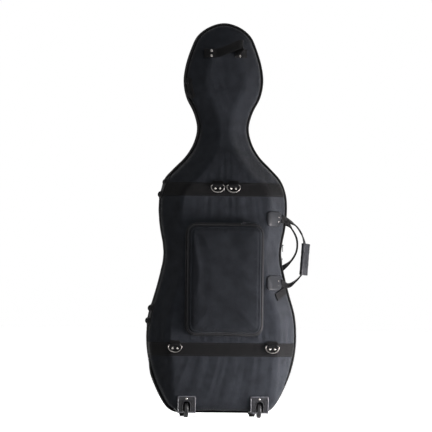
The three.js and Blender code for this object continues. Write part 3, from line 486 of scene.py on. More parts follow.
def skin_grid(half, skin=0.0, rim=0.0, steps=SKIN_STEPS, eases=(12.0, 14.0)):
    """A half's surface as a grid of stations by steps. Each row runs from the rim down the wall, over the
    flank and along the panel to the middle line, with both corners rounded by curves of the second degree."""
    corners = section(half, SEAM[:, 1], skin, rim)
    place = joined(
        SEAM[:, None, 0] - SEAM_OUT[:, None, 0] * corners[..., 0],
        half["side"] * corners[..., 1],
        SEAM[:, None, 1] - SEAM_OUT[:, None, 1] * corners[..., 0],
    )
    edge = place[:, 2]
    right = edge[:HALF_STATIONS + 1]
    spine_z = np.clip(edge[:, 2], *SPINE_Z)
    spine = joined(0.0, np.interp(spine_z, np.maximum.accumulate(right[:, 2]), right[:, 1]), spine_z)
    stops = [place[:, 0], place[:, 1], edge, spine]
    legs = [np.linalg.norm(b - a, axis=1) for a, b in zip(stops, stops[1:])]
    rows = []
    start = stops[0]
    for k, reach in ((1, eases[0]), (2, eases[1])):
        before = stops[k] - unit(stops[k] - stops[k - 1]) * np.minimum(reach, 0.45 * legs[k - 1])[:, None]
        after = stops[k] + unit(stops[k + 1] - stops[k]) * np.minimum(reach, 0.45 * legs[k])[:, None]
        t = np.linspace(0, 1, steps[2 * k - 2], endpoint=False)[:, None, None]
        rows.append(mix(start, before, t))
        t = np.linspace(0, 1, steps[2 * k - 1], endpoint=False)[:, None, None]
        rows.append(mix(mix(before, stops[k], t), mix(stops[k], after, t), t))
        start = after
    rows.append(mix(start, spine, np.linspace(0, 1, steps[4])[:, None, None]))
    points = np.concatenate(rows).transpose(1, 0, 2)
    points[-1] = points[0]
    return points


def skin_normals(points, side):
    """Outward normals of a half's grid; the panel's middle, where stations meet, faces straight out."""
    closed = np.concatenate([points[-2:-1], points, points[1:2]])
    n = np.cross(closed[2:] - closed[:-2], np.gradient(points, axis=1))
    thin = np.linalg.norm(n, axis=-1, keepdims=True) < 1e-3
    n = unit(np.where(thin, -side * OUT, n))
    if n[HALF_STATIONS // 2, -6, 1] * side < 0:
        n = np.where(thin, n, -n)
    n[:, -1] = unit(n[:, -3] * [0, 1, 1])
    return n


SKINS = {half["name"]: skin_grid(half) for half in (BASE, LID)}


def level_line(half, height):
    """A half's section at one height, from its right rim over the panel to its left rim."""
    steps = SKINS[half["name"]][:HALF_STATIONS + 1].transpose(1, 0, 2)
    line = np.array([[*(np.interp(height, step[:, 2], step[:, k]) for k in (0, 1)), height] for step in steps])
    line[-1, 0] = 0
    return np.vstack([line, line[-2::-1] * [-1, 1, 1]])


def surface_tables(half):
    """Depth over the panel and flank by height and distance from the middle, and distance from the middle of
    the side wall by height and depth, both read from the surface's own level lines."""
    heights = np.arange(24.0, 1348.0, 3.0)
    lines = [level_line(half, h)[:SKINS[half["name"]].shape[1]] for h in heights]
    over = np.stack([np.interp(TABLE_X, line[::-1, 0], np.abs(line[::-1, 1])) for line in lines])
    side = np.stack([np.interp(TABLE_DEPTH, np.abs(line[:, 1]), line[:, 0]) for line in lines])
    return heights, over, side


def looked_up(table, first, second, a, b):
    """Linear look-up in a table of two directions, with its two slopes."""
    step_a, step_b = first[1] - first[0], second[1] - second[0]
    u = np.clip((a - first[0]) / step_a, 0, len(first) - 1.001)
    v = np.clip((b - second[0]) / step_b, 0, len(second) - 1.001)
    i, j = u.astype(int), v.astype(int)
    u, v = u - i, v - j
    p, q, r, s = table[i, j], table[i + 1, j], table[i, j + 1], table[i + 1, j + 1]
    value = p * (1 - u) * (1 - v) + q * u * (1 - v) + r * (1 - u) * v + s * u * v
    return value, ((q - p) * (1 - v) + (s - r) * v) / step_a, ((r - p) * (1 - u) + (s - q) * u) / step_b


TABLE_X = np.arange(0.0, 262.0, 2.0)
TABLE_DEPTH = np.arange(0.0, 120.0, 2.0)
TABLES = {half["name"]: surface_tables(half) for half in (BASE, LID)}


def on_face(half, x, z):
    """Points and outward normals of a half's panel and flank at places across and up."""
    heights, over, _ = TABLES[half["name"]]
    depth, by_z, by_x = looked_up(over, heights, TABLE_X, z, np.abs(x))
    return joined(x, half["side"] * depth, z), unit(joined(-by_x * np.sign(x), half["side"], -by_z))


def on_side(half, sign, depth, z):
    """Points and outward normals of a half's side wall at depths from the seam and heights."""
    heights, _, side = TABLES[half["name"]]
    x, by_z, by_depth = looked_up(side, heights, TABLE_DEPTH, z, depth)
    return joined(sign * x, half["side"] * depth, z), unit(joined(sign, -by_depth * half["side"], -by_z))


def wall_inset(half, z, depth):
    """How far a half's wall stands inside the outline, at heights and depths from the seam."""
    up = ease(z, GROUND, GROUND + BOTTOM_BLEND)
    return SEAM_REVEAL + WALL_DRAFT * up * depth / (depth_at(half, z) * mix(*WALL_SHARE, up))


def zip_stations(step):
    """The seam from the top of the hinge over the head, down the right and across the foot to the hinge's
    foot, at equal steps: its points, its outward normals and their distances along it."""
    left = SEAM[:, 0] < 0
    top = np.nonzero(left & (SEAM[:, 1] > HINGE_Z[1]))[0]
    foot = np.nonzero(left & (SEAM[:, 1] < HINGE_Z[0]))[0]
    foot = foot[foot > HALF_STATIONS]
    order = np.r_[np.arange(top[-1], -1, -1), np.arange(2 * HALF_STATIONS, foot[0] - 1, -1)]
    path = np.hstack([SEAM[order], SEAM_OUT[order]])
    path = path[np.r_[True, np.linalg.norm(np.diff(path[:, :2], axis=0), axis=1) > 1e-6]]
    along = lengths(path[:, :2])
    at = np.linspace(0, along[-1], int(along[-1] / step) + 1)
    rows = read_at(at, along, path)
    return rows[:, :2], unit(rows[:, 2:]), at


def on_seam(half, point, outward, profile, rise=1.0):
    """A section carried along a half's wall beside the seam. Each of its points is a lift off the wall, which
    can change along the seam, and a depth from the seam."""
    rows = []
    for lift, depth in profile:
        inset = wall_inset(half, point[:, 1], depth) - lift * rise
        rows.append(joined(point[:, 0] - outward[:, 0] * inset, half["side"] * depth,
                           point[:, 1] - outward[:, 1] * inset))
    return np.stack(rows, 1)


def stitches(path, normals, pitch=5.2, length=3.4, radius=0.42, finish=0):
    """A row of thread stitches along a path: spindles of six sides, each lying along the path."""
    points, *rest = lathe([(0, -0.5), (0.75, -0.32), (1, 0), (0.75, 0.32), (0, 0.5)], 5, RIGHT)
    along_path = lengths(path)
    at = np.arange(pitch, along_path[-1] - pitch / 2, pitch)
    ends = at_lengths(path, np.r_[at - 0.5, at + 0.5])
    along = unit(ends[len(at):] - ends[:len(at)])
    out = unit(read_at(at, along_path, np.broadcast_to(normals, path.shape)))
    spindle = (points * [length, radius, radius], *rest)
    return scattered(spindle, at_lengths(path, at), along, np.cross(along, out), out, finish)


def ribbon(points, width_dirs, width, thickness, count=120, finish=0):
    """A webbing strap along a smooth curve through points. Its section is flat with rounded edges, and turns
    with the given width directions. Returns its closed grid, its centre line, width and face directions."""
    points = np.asarray(points, float)
    path = through(points)
    given = np.broadcast_to(width_dirs, points.shape)
    widths = read_at(np.linspace(0, 1, len(path)), np.linspace(0, 1, len(points)), given)
    line = spaced(path, count)
    across = read_at(np.linspace(0, lengths(path)[-1], count), lengths(path), widths)
    along = unit(np.gradient(line, axis=0))
    across = unit(across - (across * along).sum(1, keepdims=True) * along)
    face = np.cross(along, across)
    half, bulge = thickness / 2, thickness * 0.35
    turn = np.linspace(-math.pi / 2, math.pi / 2, 5)
    right = joined(width / 2 - bulge + bulge * np.cos(turn), half * np.sin(turn))
    top = joined(np.linspace(width / 2 - bulge, -width / 2 + bulge, 9)[1:-1], half)
    profile = looped(np.vstack([right, top, -right, -top]))
    reach = lengths(line)
    uv = joined(np.r_[0, reach, reach[-1]][:, None], lengths(profile))
    return grid(capped(carried(line, across, face, profile)), uv, finish), line, across, face


# Materials

def add_node(tree, kind, inputs=None, links=None, stops=(), **options):
    """Adds one shader node with its options, its input values and its links from other nodes' outputs. On a
    colour ramp it also sets the stops, each a position and a linear colour."""
    node = tree.nodes.new("ShaderNode" + kind)
    for option, value in options.items():
        setattr(node, option, value)
    for name, value in (inputs or {}).items():
        node.inputs[name].default_value = value
    for name, (source, output) in (links or {}).items():
        tree.links.new(source.outputs[output], node.inputs[name])
    for index, (position, colour) in enumerate(stops):
        node.color_ramp.elements[index].position = position
        node.color_ramp.elements[index].color = (*colour, 1.0)
    return node


def surface(name, colour, roughness, metallic=0.0, level=0.5, sheen=0.0):
    """A new material with its shader, whose even values are set on the shader's own sockets."""
    material = bpy.data.materials.new(name)
    material.use_nodes = True
    tree = material.node_tree
    shader = tree.nodes["Principled BSDF"]
    values = {"Base Color": (*colour, 1.0), "Roughness": roughness, "Metallic": metallic}
    if level != 0.5:
        values["Specular IOR Level"] = level
    if sheen:
        values["Sheen Weight"] = sheen
        values["Sheen Roughness"] = 0.45
        values["Sheen Tint"] = (1.0, 1.0, 1.0, 1.0)
    for socket, value in values.items():
        shader.inputs[socket].default_value = value
    return material, tree, shader


def scaled(colour, factor):
    """A linear colour times a factor, up to white."""
    return tuple(min(c * factor, 1.0) for c in colour)


def woven(name, colour, thread, roughness, height, cloud=0.22, sheen=0.12, level=0.22, cell=1.0):
    """Plain weave. The piece's map is measured in threads; a checker says which thread lies on top, and each
    thread is a half wave across its width. thread is their spacing in mm along the piece's second direction,
    and cell is how many threads to that spacing there are along the first."""
    material, tree, shader = surface(name, colour, roughness, sheen=sheen, level=level)
    uv = add_node(tree, "UVMap", uv_map="Weave")
    size = 1 / (thread * MM)
    place = add_node(tree, "Mapping", {"Scale": (size * cell, size, 1)}, {"Vector": (uv, "UV")})
    split = add_node(tree, "SeparateXYZ", links={"Vector": (place, "Vector")})
    waves = []
    for axis in "XY":
        turned = add_node(tree, "Math", {1: math.pi}, {0: (split, axis)}, operation="MULTIPLY")
        wave = add_node(tree, "Math", links={0: (turned, 0)}, operation="SINE")
        waves.append(add_node(tree, "Math", links={0: (wave, 0)}, operation="ABSOLUTE"))
    over = add_node(tree, "TexChecker", {"Scale": 1.0}, {"Vector": (place, "Vector")})
    thread_height = add_node(tree, "Mix", links={"Factor": (over, "Fac"), "A": (waves[0], 0),
                                                 "B": (waves[1], 0)})
    coords = add_node(tree, "TexCoord")
    clouds = add_node(tree, "TexNoise", {"Scale": 26.0, "Detail": 3.0, "Roughness": 0.55},
                      {"Vector": (coords, "Object")})
    fuzz = add_node(tree, "TexNoise", {"Scale": 900.0, "Detail": 2.0}, {"Vector": (coords, "Object")})
    tone = add_node(tree, "ValToRGB", links={"Fac": (clouds, "Fac")},
                    stops=[(0.3, scaled(colour, 1 - cloud)), (0.7, scaled(colour, 1 + cloud))])
    # Painted shade: the colour darkens in the hollows between threads, and a painted highlight lifts it a
    # little on their tops
    painted_thread_shade = add_node(tree, "ValToRGB", links={"Fac": (thread_height, "Result")},
                    stops=[(0.0, (0.55,) * 3), (0.75, (1.08,) * 3)])
    shade = add_node(tree, "Mix", {0: 1.0}, {6: (tone, "Color"), 7: (painted_thread_shade, "Color")},
                     data_type="RGBA", blend_type="MULTIPLY")
    tree.links.new(shade.outputs[2], shader.inputs["Base Color"])
    rough = add_node(tree, "MapRange", {"From Min": 0.25, "From Max": 0.75, "To Min": roughness - 0.08,
                                        "To Max": min(roughness + 0.08, 1.0)}, {"Value": (fuzz, "Fac")})
    tree.links.new(rough.outputs["Result"], shader.inputs["Roughness"])
    raised = add_node(tree, "Bump", {"Strength": 0.9, "Distance": height * MM},
                      {"Height": (thread_height, "Result")})
    soft = add_node(tree, "Bump", {"Strength": 0.35, "Distance": 0.0004},
                    {"Height": (clouds, "Fac"), "Normal": (raised, "Normal")})
    tree.links.new(soft.outputs["Normal"], shader.inputs["Normal"])
    return material


def grained(name, colour, roughness, scale, height, spread=0.12, cloud=0.18, metallic=0.0,
            level=0.5, sheen=0.0, cells=False):
    """A skin with a fine grain: noise, or the cells of leathery vinyl, as bump, and a cloudy colour and gloss.
    scale is how many grains there are to a metre, and height is how far they stand out in mm."""
    material, tree, shader = surface(name, colour, roughness, metallic, level, sheen)
    coords = add_node(tree, "TexCoord")
    kind, output, values = ("TexVoronoi", "Distance", {}) if cells else ("TexNoise", "Fac", {"Detail": 4.0})
    grain = add_node(tree, kind, {"Scale": scale, **values}, {"Vector": (coords, "Object")})
    clouds = add_node(tree, "TexNoise", {"Scale": 35.0, "Detail": 4.0}, {"Vector": (coords, "Object")})
    tone = add_node(tree, "ValToRGB", links={"Fac": (clouds, "Fac")},
                    stops=[(0.32, scaled(colour, 1 - cloud)), (0.68, scaled(colour, 1 + cloud))])
    tree.links.new(tone.outputs["Color"], shader.inputs["Base Color"])
    rough = add_node(tree, "MapRange", {
        "From Min": 0.3, "From Max": 0.7,
        "To Min": max(roughness - spread, 0.05), "To Max": min(roughness + spread, 1.0),
    }, {"Value": (clouds, "Fac")})
    tree.links.new(rough.outputs["Result"], shader.inputs["Roughness"])
    raised = add_node(tree, "Bump", {"Strength": 0.6, "Distance": height * MM}, {"Height": (grain, output)})
    tree.links.new(raised.outputs["Normal"], shader.inputs["Normal"])
    return material


def make_materials(colours):
    """Every finish of the case."""
    # 600 denier polyester in a plain weave: matt, dark, with a soft shine where it turns away. Its threads
    # are about 0.5 mm apart, which is drawn as 1.6 mm so that it shows.
    woven("plain_weave_polyester", colours.cover, 1.6, 0.75, 0.3, sheen=0.08, level=0.015)
    # Narrow woven tape of the same yarn, flatter and a little closer, drawn as coarse to match
    woven("woven_tape", colours.webbing, 1.2, 0.75, 0.2, cloud=0.12, sheen=0.04, level=0.05)
    # Polypropylene webbing: thick ribs across its length, about 2 mm apart, with a waxy low shine
    woven("ribbed_webbing", scaled(colours.webbing, 0.55), 2.1, 0.6, 0.55, cloud=0.12, sheen=0.02, level=0.04,
          cell=0.5)
    # The straps' webbing: the same with more of its wax left, a little brighter where it turns away
    woven("strap_webbing", scaled(colours.webbing, 0.65), 2.1, 0.6, 0.55, cloud=0.12, sheen=0.03, level=0.05,
          cell=0.5)
    # Brushed plush, all nap: no gloss, a bright edge where the pile stands away from the eye
    grained("plush_velour", colours.lining, 0.95, 700.0, 0.5, cloud=0.3, level=0.1, sheen=0.6)
    # Extruded vinyl piping, smooth with a dull gloss, near black: its own black and painted shade of the
    # seam's shadow
    grained("black_vinyl_and_painted_shade", linear("0c0c0d"), 0.5, 300.0, 0.05, level=0.12)
    # The pocket's piping: the same vinyl painted paler, as a painted highlight along its edge, and a little
    # glossier
    grained("pocket_vinyl_painted_highlight", linear("19191b"), 0.42, 300.0, 0.05, level=0.13)
    # The pocket's cloth: the cover's weave painted darker, a painted shade against the lamps' light on its
    # front
    woven("pocket_weave_painted_shade", scaled(colours.cover, 0.7), 1.6, 0.75, 0.3, sheen=0.08, level=0.015)
    # Calendered vinyl with a leather grain of about 1.5 mm, glossy on its high points
    grained("grained_vinyl", colours.vinyl, 0.36, 640.0, 0.22, cells=True, level=0.15)
    # Moulded ABS, a fine spark-eroded grain and a low gloss
    grained("moulded_abs", colours.plastic, 0.4, 1500.0, 0.06, level=0.2)
    # The same plastic on the plates' raised borders, painted paler as a painted highlight, and glossier
    grained("abs_painted_highlight", scaled(colours.plastic, 5.0), 0.3, 1500.0, 0.03, cloud=0.3, level=0.4)
    # Moulded rubber, dull with dusty patches
    grained("moulded_rubber", colours.rubber, 0.82, 800.0, 0.06, cloud=0.35, level=0.1)
    # Polyurethane tyre, harder and a little glossier
    grained("wheel_polyurethane", linear("151517"), 0.5, 500.0, 0.05, cloud=0.3, level=0.3)
    # Nickel-plated steel: a warm bright mirror, softened by handling
    grained("nickel_plated_steel", linear("5e5c5a"), 0.26, 260.0, 0.01, spread=0.09, cloud=0.06, metallic=1.0)
    # The same on rivet heads: smoother, as they are polished in their press, and painted paler as a painted
    # highlight
    grained("polished_nickel_painted_highlight", linear("8f8c88"), 0.16, 260.0, 0.01, spread=0.06, cloud=0.04, metallic=1.0)
    # Die-cast zinc with a black finish, worn to grey in places
    grained("blackened_zinc", linear("2e2e31"), 0.38, 420.0, 0.03, cloud=0.3, metallic=0.85)
    # Extruded nylon coil, slightly shiny
    grained("nylon_coil", linear("1a1a1c"), 0.4, 600.0, 0.02, level=0.25)
    # Bonded polyester thread
    grained("sewing_thread", linear("26262a"), 0.55, 900.0, 0.03, level=0.1)


# Settings

def sized(name, description, default, low, high):
    """A setting that is a length, in metres."""
    return FloatProperty(name=name, description=description, default=default, min=low, max=high, unit="LENGTH")


def tinted(name, description, code):
    """A setting that is a colour, with an sRGB hex code for its default."""
    return FloatVectorProperty(name=name, description=description, default=linear(code), subtype="COLOR",
                               min=0.0, max=1.0)


class CaseSizes(bpy.types.PropertyGroup):
    """Sizes a user would change."""
    pleat_depth: sized("Pleat depth", "How far the bands' gathers stand out", 0.0014, 0.0, 0.006)
    slack_depth: sized("Cover slack", "How far the cover wavers over the shell", 0.0011, 0.0, 0.004)
    stitch_pitch: sized("Stitch pitch", "Distance from stitch to stitch", 0.0052, 0.002, 0.01)
    tooth_pitch: sized("Zip pitch", "Distance from zip tooth to zip tooth", 0.0032, 0.002, 0.008)
    pocket_crown: sized("Pocket crown", "How far the pocket's front bulges", 0.010, 0.004, 0.018)
    ring_sides: IntProperty(name="Ring sides", description="Faces round the wire of a ring",
                            default=14, min=6, max=32)


class CaseColours(bpy.types.PropertyGroup):
    """Colours a user would change."""
    cover: tinted("Cover", "Woven cover", "212327")
    webbing: tinted("Webbing", "Bands, straps and tapes", "171718")
    lining: tinted("Lining", "Plush lining", "34363d")
    vinyl: tinted("Vinyl", "Handle patches and grip", "1c1d20")
    plastic: tinted("Plastic", "Wheel housings and catches", "17171a")
    rubber: tinted("Rubber", "Feet", "151516")


class StageSettings(bpy.types.PropertyGroup):
    """The camera and light that a user would change."""
    azimuth: FloatProperty(name="Azimuth", description="How far round the camera stands",
                           default=math.radians(-5), unit="ROTATION")
    distance: FloatProperty(name="Distance", description="Camera to case", default=20.0, min=1.0,
                            unit="LENGTH")
    eye: FloatProperty(name="Eye height", description="Height of the camera", default=0.5, unit="LENGTH")
    roll: FloatProperty(name="Roll", description="How far the picture leans", default=math.radians(0.7),
                        unit="ROTATION")
    frame_size: FloatProperty(name="Frame", description="Height of the view at the case", default=1.484,
                              unit="LENGTH")
    key: FloatProperty(name="Key light", description="Power of the large lamp in front", default=46.0, min=0.0,
                       unit="POWER")
    low_light: FloatProperty(name="Low light", description="Power of the lamps by the foot on the right",
                             default=52.0, min=0.0, unit="POWER")
    sky: FloatProperty(name="Sky", description="Strength of the even light", default=0.09, min=0.0)


def settings():
    """The sizes that a user would change."""
    return bpy.context.scene.cello_case_sizes


# Covers and linings

# Gathers at the bands' edges: the band, above it or below, how many mm they take to fade, how fast their lines
# fan out, times what, their lean to the left, their seed, and their shares of fine and of broad folds
GATHERS = (
    ("upper_band", 1, 46.0, 0.0008, -0.4, 0.0, 5, 1.0, 0.0),
    ("upper_band", -1, 100.0, 0.0011, 1.0, 0.0, 2, 1.0, 0.0),
    ("lower_band", 1, 46.0, 0.0008, -0.4, 0.0, 16, 1.0, 0.0),
    ("lower_band", -1, 170.0, 0.0011, 1.0, 0.22, 13, 0.6, 1.0),
)


def pleats(points, half):
    """How far the cover stands off the shell at each point. Gathers, wavering lines across, run up and down
    from each band's edges and fade as an exponential of the distance. Long soft waves, products of two
    wavering lines, cross the whole half and stop under the bands."""
    size = settings()
    x, z = points[..., 0], points[..., 2]
    total, held = np.zeros_like(x), np.zeros_like(x)
    if half is BASE:
        for band, way, fade, fan, times, lean, seed, fine_share, broad_share in GATHERS:
            away = way * (z - (BANDS[band] + way * BAND_HEIGHT / 2))
            past = np.maximum(away, 0)
            across = x / (1 + fan * past * times) + lean * past
            fine, broad = ripple(across, seed, 19.0, 70.0), ripple(across, 41, 46.0, 120.0)
            gather = fine_share * fine + broad_share * broad
            middle = 0.45 + 0.55 * np.exp(-((x - 8) / 95.0) ** 2) if band == "upper_band" else 1.25
            total += gather * np.exp(-past / fade) * ease(away, 0, 9) * middle
        held = sum(np.clip(1 - np.abs(z - h) / (BAND_HEIGHT / 2 + 3), 0, 1) ** 0.5 for h in BANDS.values())
    slow = ripple(x + 0.25 * z, 21, 85.0, 260.0) * ripple(z - 0.2 * x, 22, 120.0, 420.0)
    fine = ripple(x * 0.8 + z, 23, 38.0, 90.0) * ripple(x - 0.4 * z, 24, 40.0, 120.0)
    slack = (slow + 0.5 * fine) * (1 - np.clip(held, 0, 1)) * size.slack_depth / MM
    return total * size.pleat_depth / MM + slack


def cover_piece(half):
    """A half's cover: the outer surface with its gathers, a rolled rim and the shell's inner side."""
    outer = SKINS[half["name"]].copy()
    out = skin_normals(outer, half["side"])
    depth = np.abs(outer[..., 1])
    wall_end = 0.5 * depth_at(half, SEAM[:, 1])[:, None]
    free = ease(depth, 0.3 * wall_end, 1.05 * wall_end)
    outer += out * (pleats(outer, half) * free)[..., None]
    inner = skin_grid(half, SHELL_WALL, 0.0, INNER_STEPS)
    rim = np.stack([mix(outer[:, 0], inner[:, 0], share) for share in (0.0, 0.3, 0.7, 1.0)], 1)
    for part in (outer, rim, inner):
        part[..., 1] += half["side"] * np.where(np.abs(part[..., 1]) < 1.0, GAP / 2, 0)
    split = sum(SKIN_STEPS[:4])
    step = np.linalg.norm(np.diff(outer, axis=1), axis=-1)
    wall_map = joined(SEAM_AT[:, None], np.cumsum(np.pad(step, ((0, 0), (1, 0))), 1))[:, :split + 1]
    panel = outer[:, split:]
    parts = [grid(outer[:, :split + 1], wall_map), grid(panel, panel[..., [0, 2]]), grid(rim), grid(inner)]
    return make(half["name"] + "_cover", parts, ["plain_weave_polyester"], sharp=70)


def well_blocks(margin, back, foot, radius, steps, finish):
    """Blocks round both wheel wells with a margin, from a place behind them and a height below them."""
    parts = [
        rounded_block((side * WHEEL_X - WELL_HALF - margin, back, foot),
                      (side * WHEEL_X + WELL_HALF + margin, -WELL_INNER + margin, WELL_TOP + margin),
                      radius, steps)
        for side in (-1, 1)
    ]
    return make("well_blocks", parts, [finish])


def cut_wells(made, margin, sharp):
    """Cuts the wheel wells out of a piece with a margin, and shades it again."""
    tool = well_blocks(margin, -BASE["depth"] - 60, -60, 1.0, 3, "plain_weave_polyester")
    combine(made, tool, "DIFFERENCE")
    smooth(made.data, sharp)


def lining_piece(half):
    """A half's padded lining: a plush inner face with a slow swell, the product of two wavering lines, a lip
    rolled as a half circle at the seam and a back against the shell."""
    skin = SHELL_WALL + GAP
    outer = skin_grid(half, skin, 6.0, INNER_STEPS)
    inner = skin_grid(half, skin + LINING, 6.0, (8, 6, 10, 8, 22), (34.0, 40.0))
    out = skin_normals(inner, half["side"])
    x, z = inner[..., 0], inner[..., 2]
    puff = ripple(z + 0.3 * x, 31, 60, 190) * ripple(x - 0.2 * z, 32, 50, 150)
    away = ease(np.abs(inner[..., 1]), 8, 40)
    inner -= out * (0.8 * (puff + 0.2) * away)[..., None]
    turn = np.linspace(0, math.pi, 9)[1:-1]
    a, b = outer[:, :1], inner[:, :1]
    lip = (a + b) / 2 + (a - b) / 2 * np.cos(turn)[None, :, None]
    lip[..., 1] -= half["side"] * 4.5 * np.sin(turn)
    parts = [grid(outer), grid(inner), grid(np.concatenate([a, lip, b], 1))]
    made = make(half["name"] + "_padding", parts, ["plush_velour"], sharp=70)
    if half is BASE:
        combine(made, well_blocks(10.3, -123, 29, 9.0, 4, "plush_velour"), "UNION")
        cut_wells(made, 0.4, 50)
    return made


class CELLOCASE_OT_covers(bpy.types.Operator):
    """Builds the woven covers of both halves, with the gathers beside the webbing bands"""
    bl_idname = "cello_case.covers"
    bl_label = "Covers"

    def execute(self, context):
        base = cover_piece(BASE)
        cut_wells(base, 0.3, 60)
        dressed(base, "base", ["base_shell"])
        dressed(cover_piece(LID), "lid", ["lid_shell"])
        return {"FINISHED"}


class CELLOCASE_OT_linings(bpy.types.Operator):
    """Builds the padded plush linings of both halves"""
    bl_idname = "cello_case.linings"
    bl_label = "Linings"

    def execute(self, context):
        for half in (BASE, LID):
            made = dressed(lining_piece(half), half["name"], [half["name"] + "_lining"])
        return {"FINISHED"}


# Seam trims

def zip_half(half):
    """Half of the zip: a woven tape on the wall, and a row of coil teeth along the seam on a rounded bed."""
    point, outward, at = zip_stations(7.0)
    profile = [(1.8, 3.2), (1.9, 8.0), (1.7, 13.0), (1.2, 14.0), (0.6, 14.0), (0.6, 3.2),
               (0.7, 1.0), (1.3, 1.0), (1.8, 3.2)]
    uv = joined(np.r_[0, at, at[-1]][:, None], lengths(np.array(profile)))
    tape = grid(capped(on_seam(half, point, outward, profile)), uv)
    point, outward, at = zip_stations(settings().tooth_pitch / MM)
    seat = on_seam(half, point, outward, [(2.0, 1.75)])[:, 0]
    out = joined(outward[:, 0], 0.0, outward[:, 1])
    along = unit(np.gradient(seat, axis=0) * [1, 0, 1])
    points, *rest = lathe([(0, -1.55), (0.75, -1.5), (1.05, -0.9), (0.95, 0.6), (0.55, 1.45), (0, 1.5)], 7)
    teeth = scattered((points * [1.0, 1.35, 1.0], *rest), seat, along, out, -half["side"] * OUT, 1)
    bed = [(0.8, 0.3), (2.0, 0.3), (2.3, 1.2), (2.0, 3.3), (0.8, 3.3), (0.8, 0.3)]
    bed = grid(capped(on_seam(half, point[::4], outward[::4], bed)), finish=1)
    return make(half["name"] + "_zip", [tape, teeth, bed], ["woven_tape", "nylon_coil"])


PIPING_RADIUS, PIPING_LIFT, PIPING_SEAT = 3.3, 5.6, 17.6


def piping_half(half):
    """Vinyl piping: a round cord along the seam beside the zip, on a flat stitched flange. Both sink towards
    the wall over their last stretch before the hinge."""
    point, outward, at = zip_stations(7.0)
    turn = np.radians(np.linspace(-55, 235, 13))[::-1]
    ring = joined(PIPING_LIFT + PIPING_RADIUS * np.sin(turn), PIPING_SEAT - PIPING_RADIUS * np.cos(turn))
    foot = [(2.2, PIPING_SEAT - 0.9), (1.4, 15.2), (0.6, 14.7), (0.6, 20.4), (1.4, 19.9),
            (2.2, PIPING_SEAT + 0.9)]
    rise = 0.25 + 0.75 * ease(np.minimum(at, at[-1] - at), 0.0, 60.0)
    rings = on_seam(half, point, outward, np.vstack([ring, foot, ring[:1]]), rise)
    # The near-black vinyl is partly painted shade of the seam beside it
    return make(half["name"] + "_cord_piping", [grid(capped(rings))], ["black_vinyl_and_painted_shade"])


class CELLOCASE_OT_seam_trims(bpy.types.Operator):
    """Builds the zip and the piping along the seam of each half"""
    bl_idname = "cello_case.seam_trims"
    bl_label = "Zip and piping"

    def execute(self, context):
        for half in (BASE, LID):
            name = half["name"]
            dressed(zip_half(half), name, [name + "_zip_half"])
            dressed(piping_half(half), name, [name + "_piping"])
        return {"FINISHED"}


class CELLOCASE_OT_hinge(bpy.types.Operator):
    """Builds the cloth hinge on the left, one strip across both halves"""
    bl_idname = "cello_case.hinge"
    bl_label = "Cloth hinge"

    def execute(self, context):
        z, lift_z = edge_steps(HINGE_Z[1] - HINGE_Z[0], 1.2, 110)
        z = z + HINGE_Z[0]
        span, lift_y = edge_steps(HINGE_WIDTH, 1.2, 22)
        y = span - HINGE_WIDTH / 2
        height, depth = np.meshgrid(z, y, indexing="ij")
        sides = [on_side(half, -1, np.abs(depth), height) for half in (BASE, LID)]
        on_lid = (depth > 0)[..., None]
        wall, normals = (np.where(on_lid, lid, base) for base, lid in zip(*sides))
        normals = unit(normals * [1, 0, 1])
        # A soft fold stands off the seam: a Gaussian across it, with a wavering height
        fold = np.exp(-(y / 3.0) ** 2) * (1 + 0.25 * ripple(z, 41, 30, 110))[:, None] * 0.9
        parts = slab(wall + normals * fold[..., None], normals, 0.35, HINGE_FACE, lift_z, lift_y)
        line = np.linspace(HINGE_Z[0] + 3, HINGE_Z[1] - 3, 160)
        for half in (BASE, LID):
            point, normal = on_side(half, -1, np.full(160, HINGE_WIDTH / 2 - 3.5), line)
            parts.append(stitches(point + normal * (HINGE_FACE + 0.05), normal, settings().stitch_pitch / MM,
                                  finish=1))
        made = make("hinge_cloth", parts, ["woven_tape", "sewing_thread"], sharp=50)
        x, y = ORIGIN[:2] * MM
        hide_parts("base_hinge_tape", "lid_hinge_tape")
        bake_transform(made)
        return {"FINISHED"}


# Bands and rings

def row_at(rows, known, where):
    """A row between the known ones, by straight lines from the row below to the row above."""
    i = np.searchsorted(known, where) - 1
    return (rows[i + 1] - rows[i]) / (known[i + 1] - known[i]) * (where - known[i]) + rows[i]


def band_piece(name, height):
    """A webbing band round the back half: a slab on the shell's surface, between two depths beside the seam,
    sewn along both edges, that wavers a little between them."""
    up, lift_z = edge_steps(BAND_HEIGHT, 1.0, 9)
    rows = []
    for z in height - BAND_HEIGHT / 2 + up:
        line = level_line(BASE, z)
        start = np.argmax(-line[:, 1] > BAND_START)
        rows.append(spaced(line[start - 1:len(line) - start + 1], 190))
    total = lengths(rows[len(rows) // 2])[-1]
    at, lift_x = edge_steps(total, 1.0, 180)
    points = np.array([at_lengths(row, at * lengths(row)[-1] / total) for row in rows])
    normals = grid_normals(points, OUT)
    waver = 0.35 * ripple(at, 51 + len(name), 25, 120) * np.sin(math.pi * up / BAND_HEIGHT)[:, None]
    points = points + normals * (0.25 + np.abs(waver))[..., None]
    uv = joined(at, up[:, None])
    parts = slab(points, normals, 0.0, BAND_THICKNESS - 0.1, lift_z, lift_x, uv)
    for edge in (4.5, BAND_HEIGHT - 4.5):
        side = unit(row_at(normals, up, edge))
        path = row_at(points, up, edge) + side * (BAND_THICKNESS - 0.05)
        parts.append(stitches(path, side, settings().stitch_pitch / MM, finish=1))
    return make(name + "_webbing", parts, ["ribbed_webbing", "sewing_thread"], sharp=50)


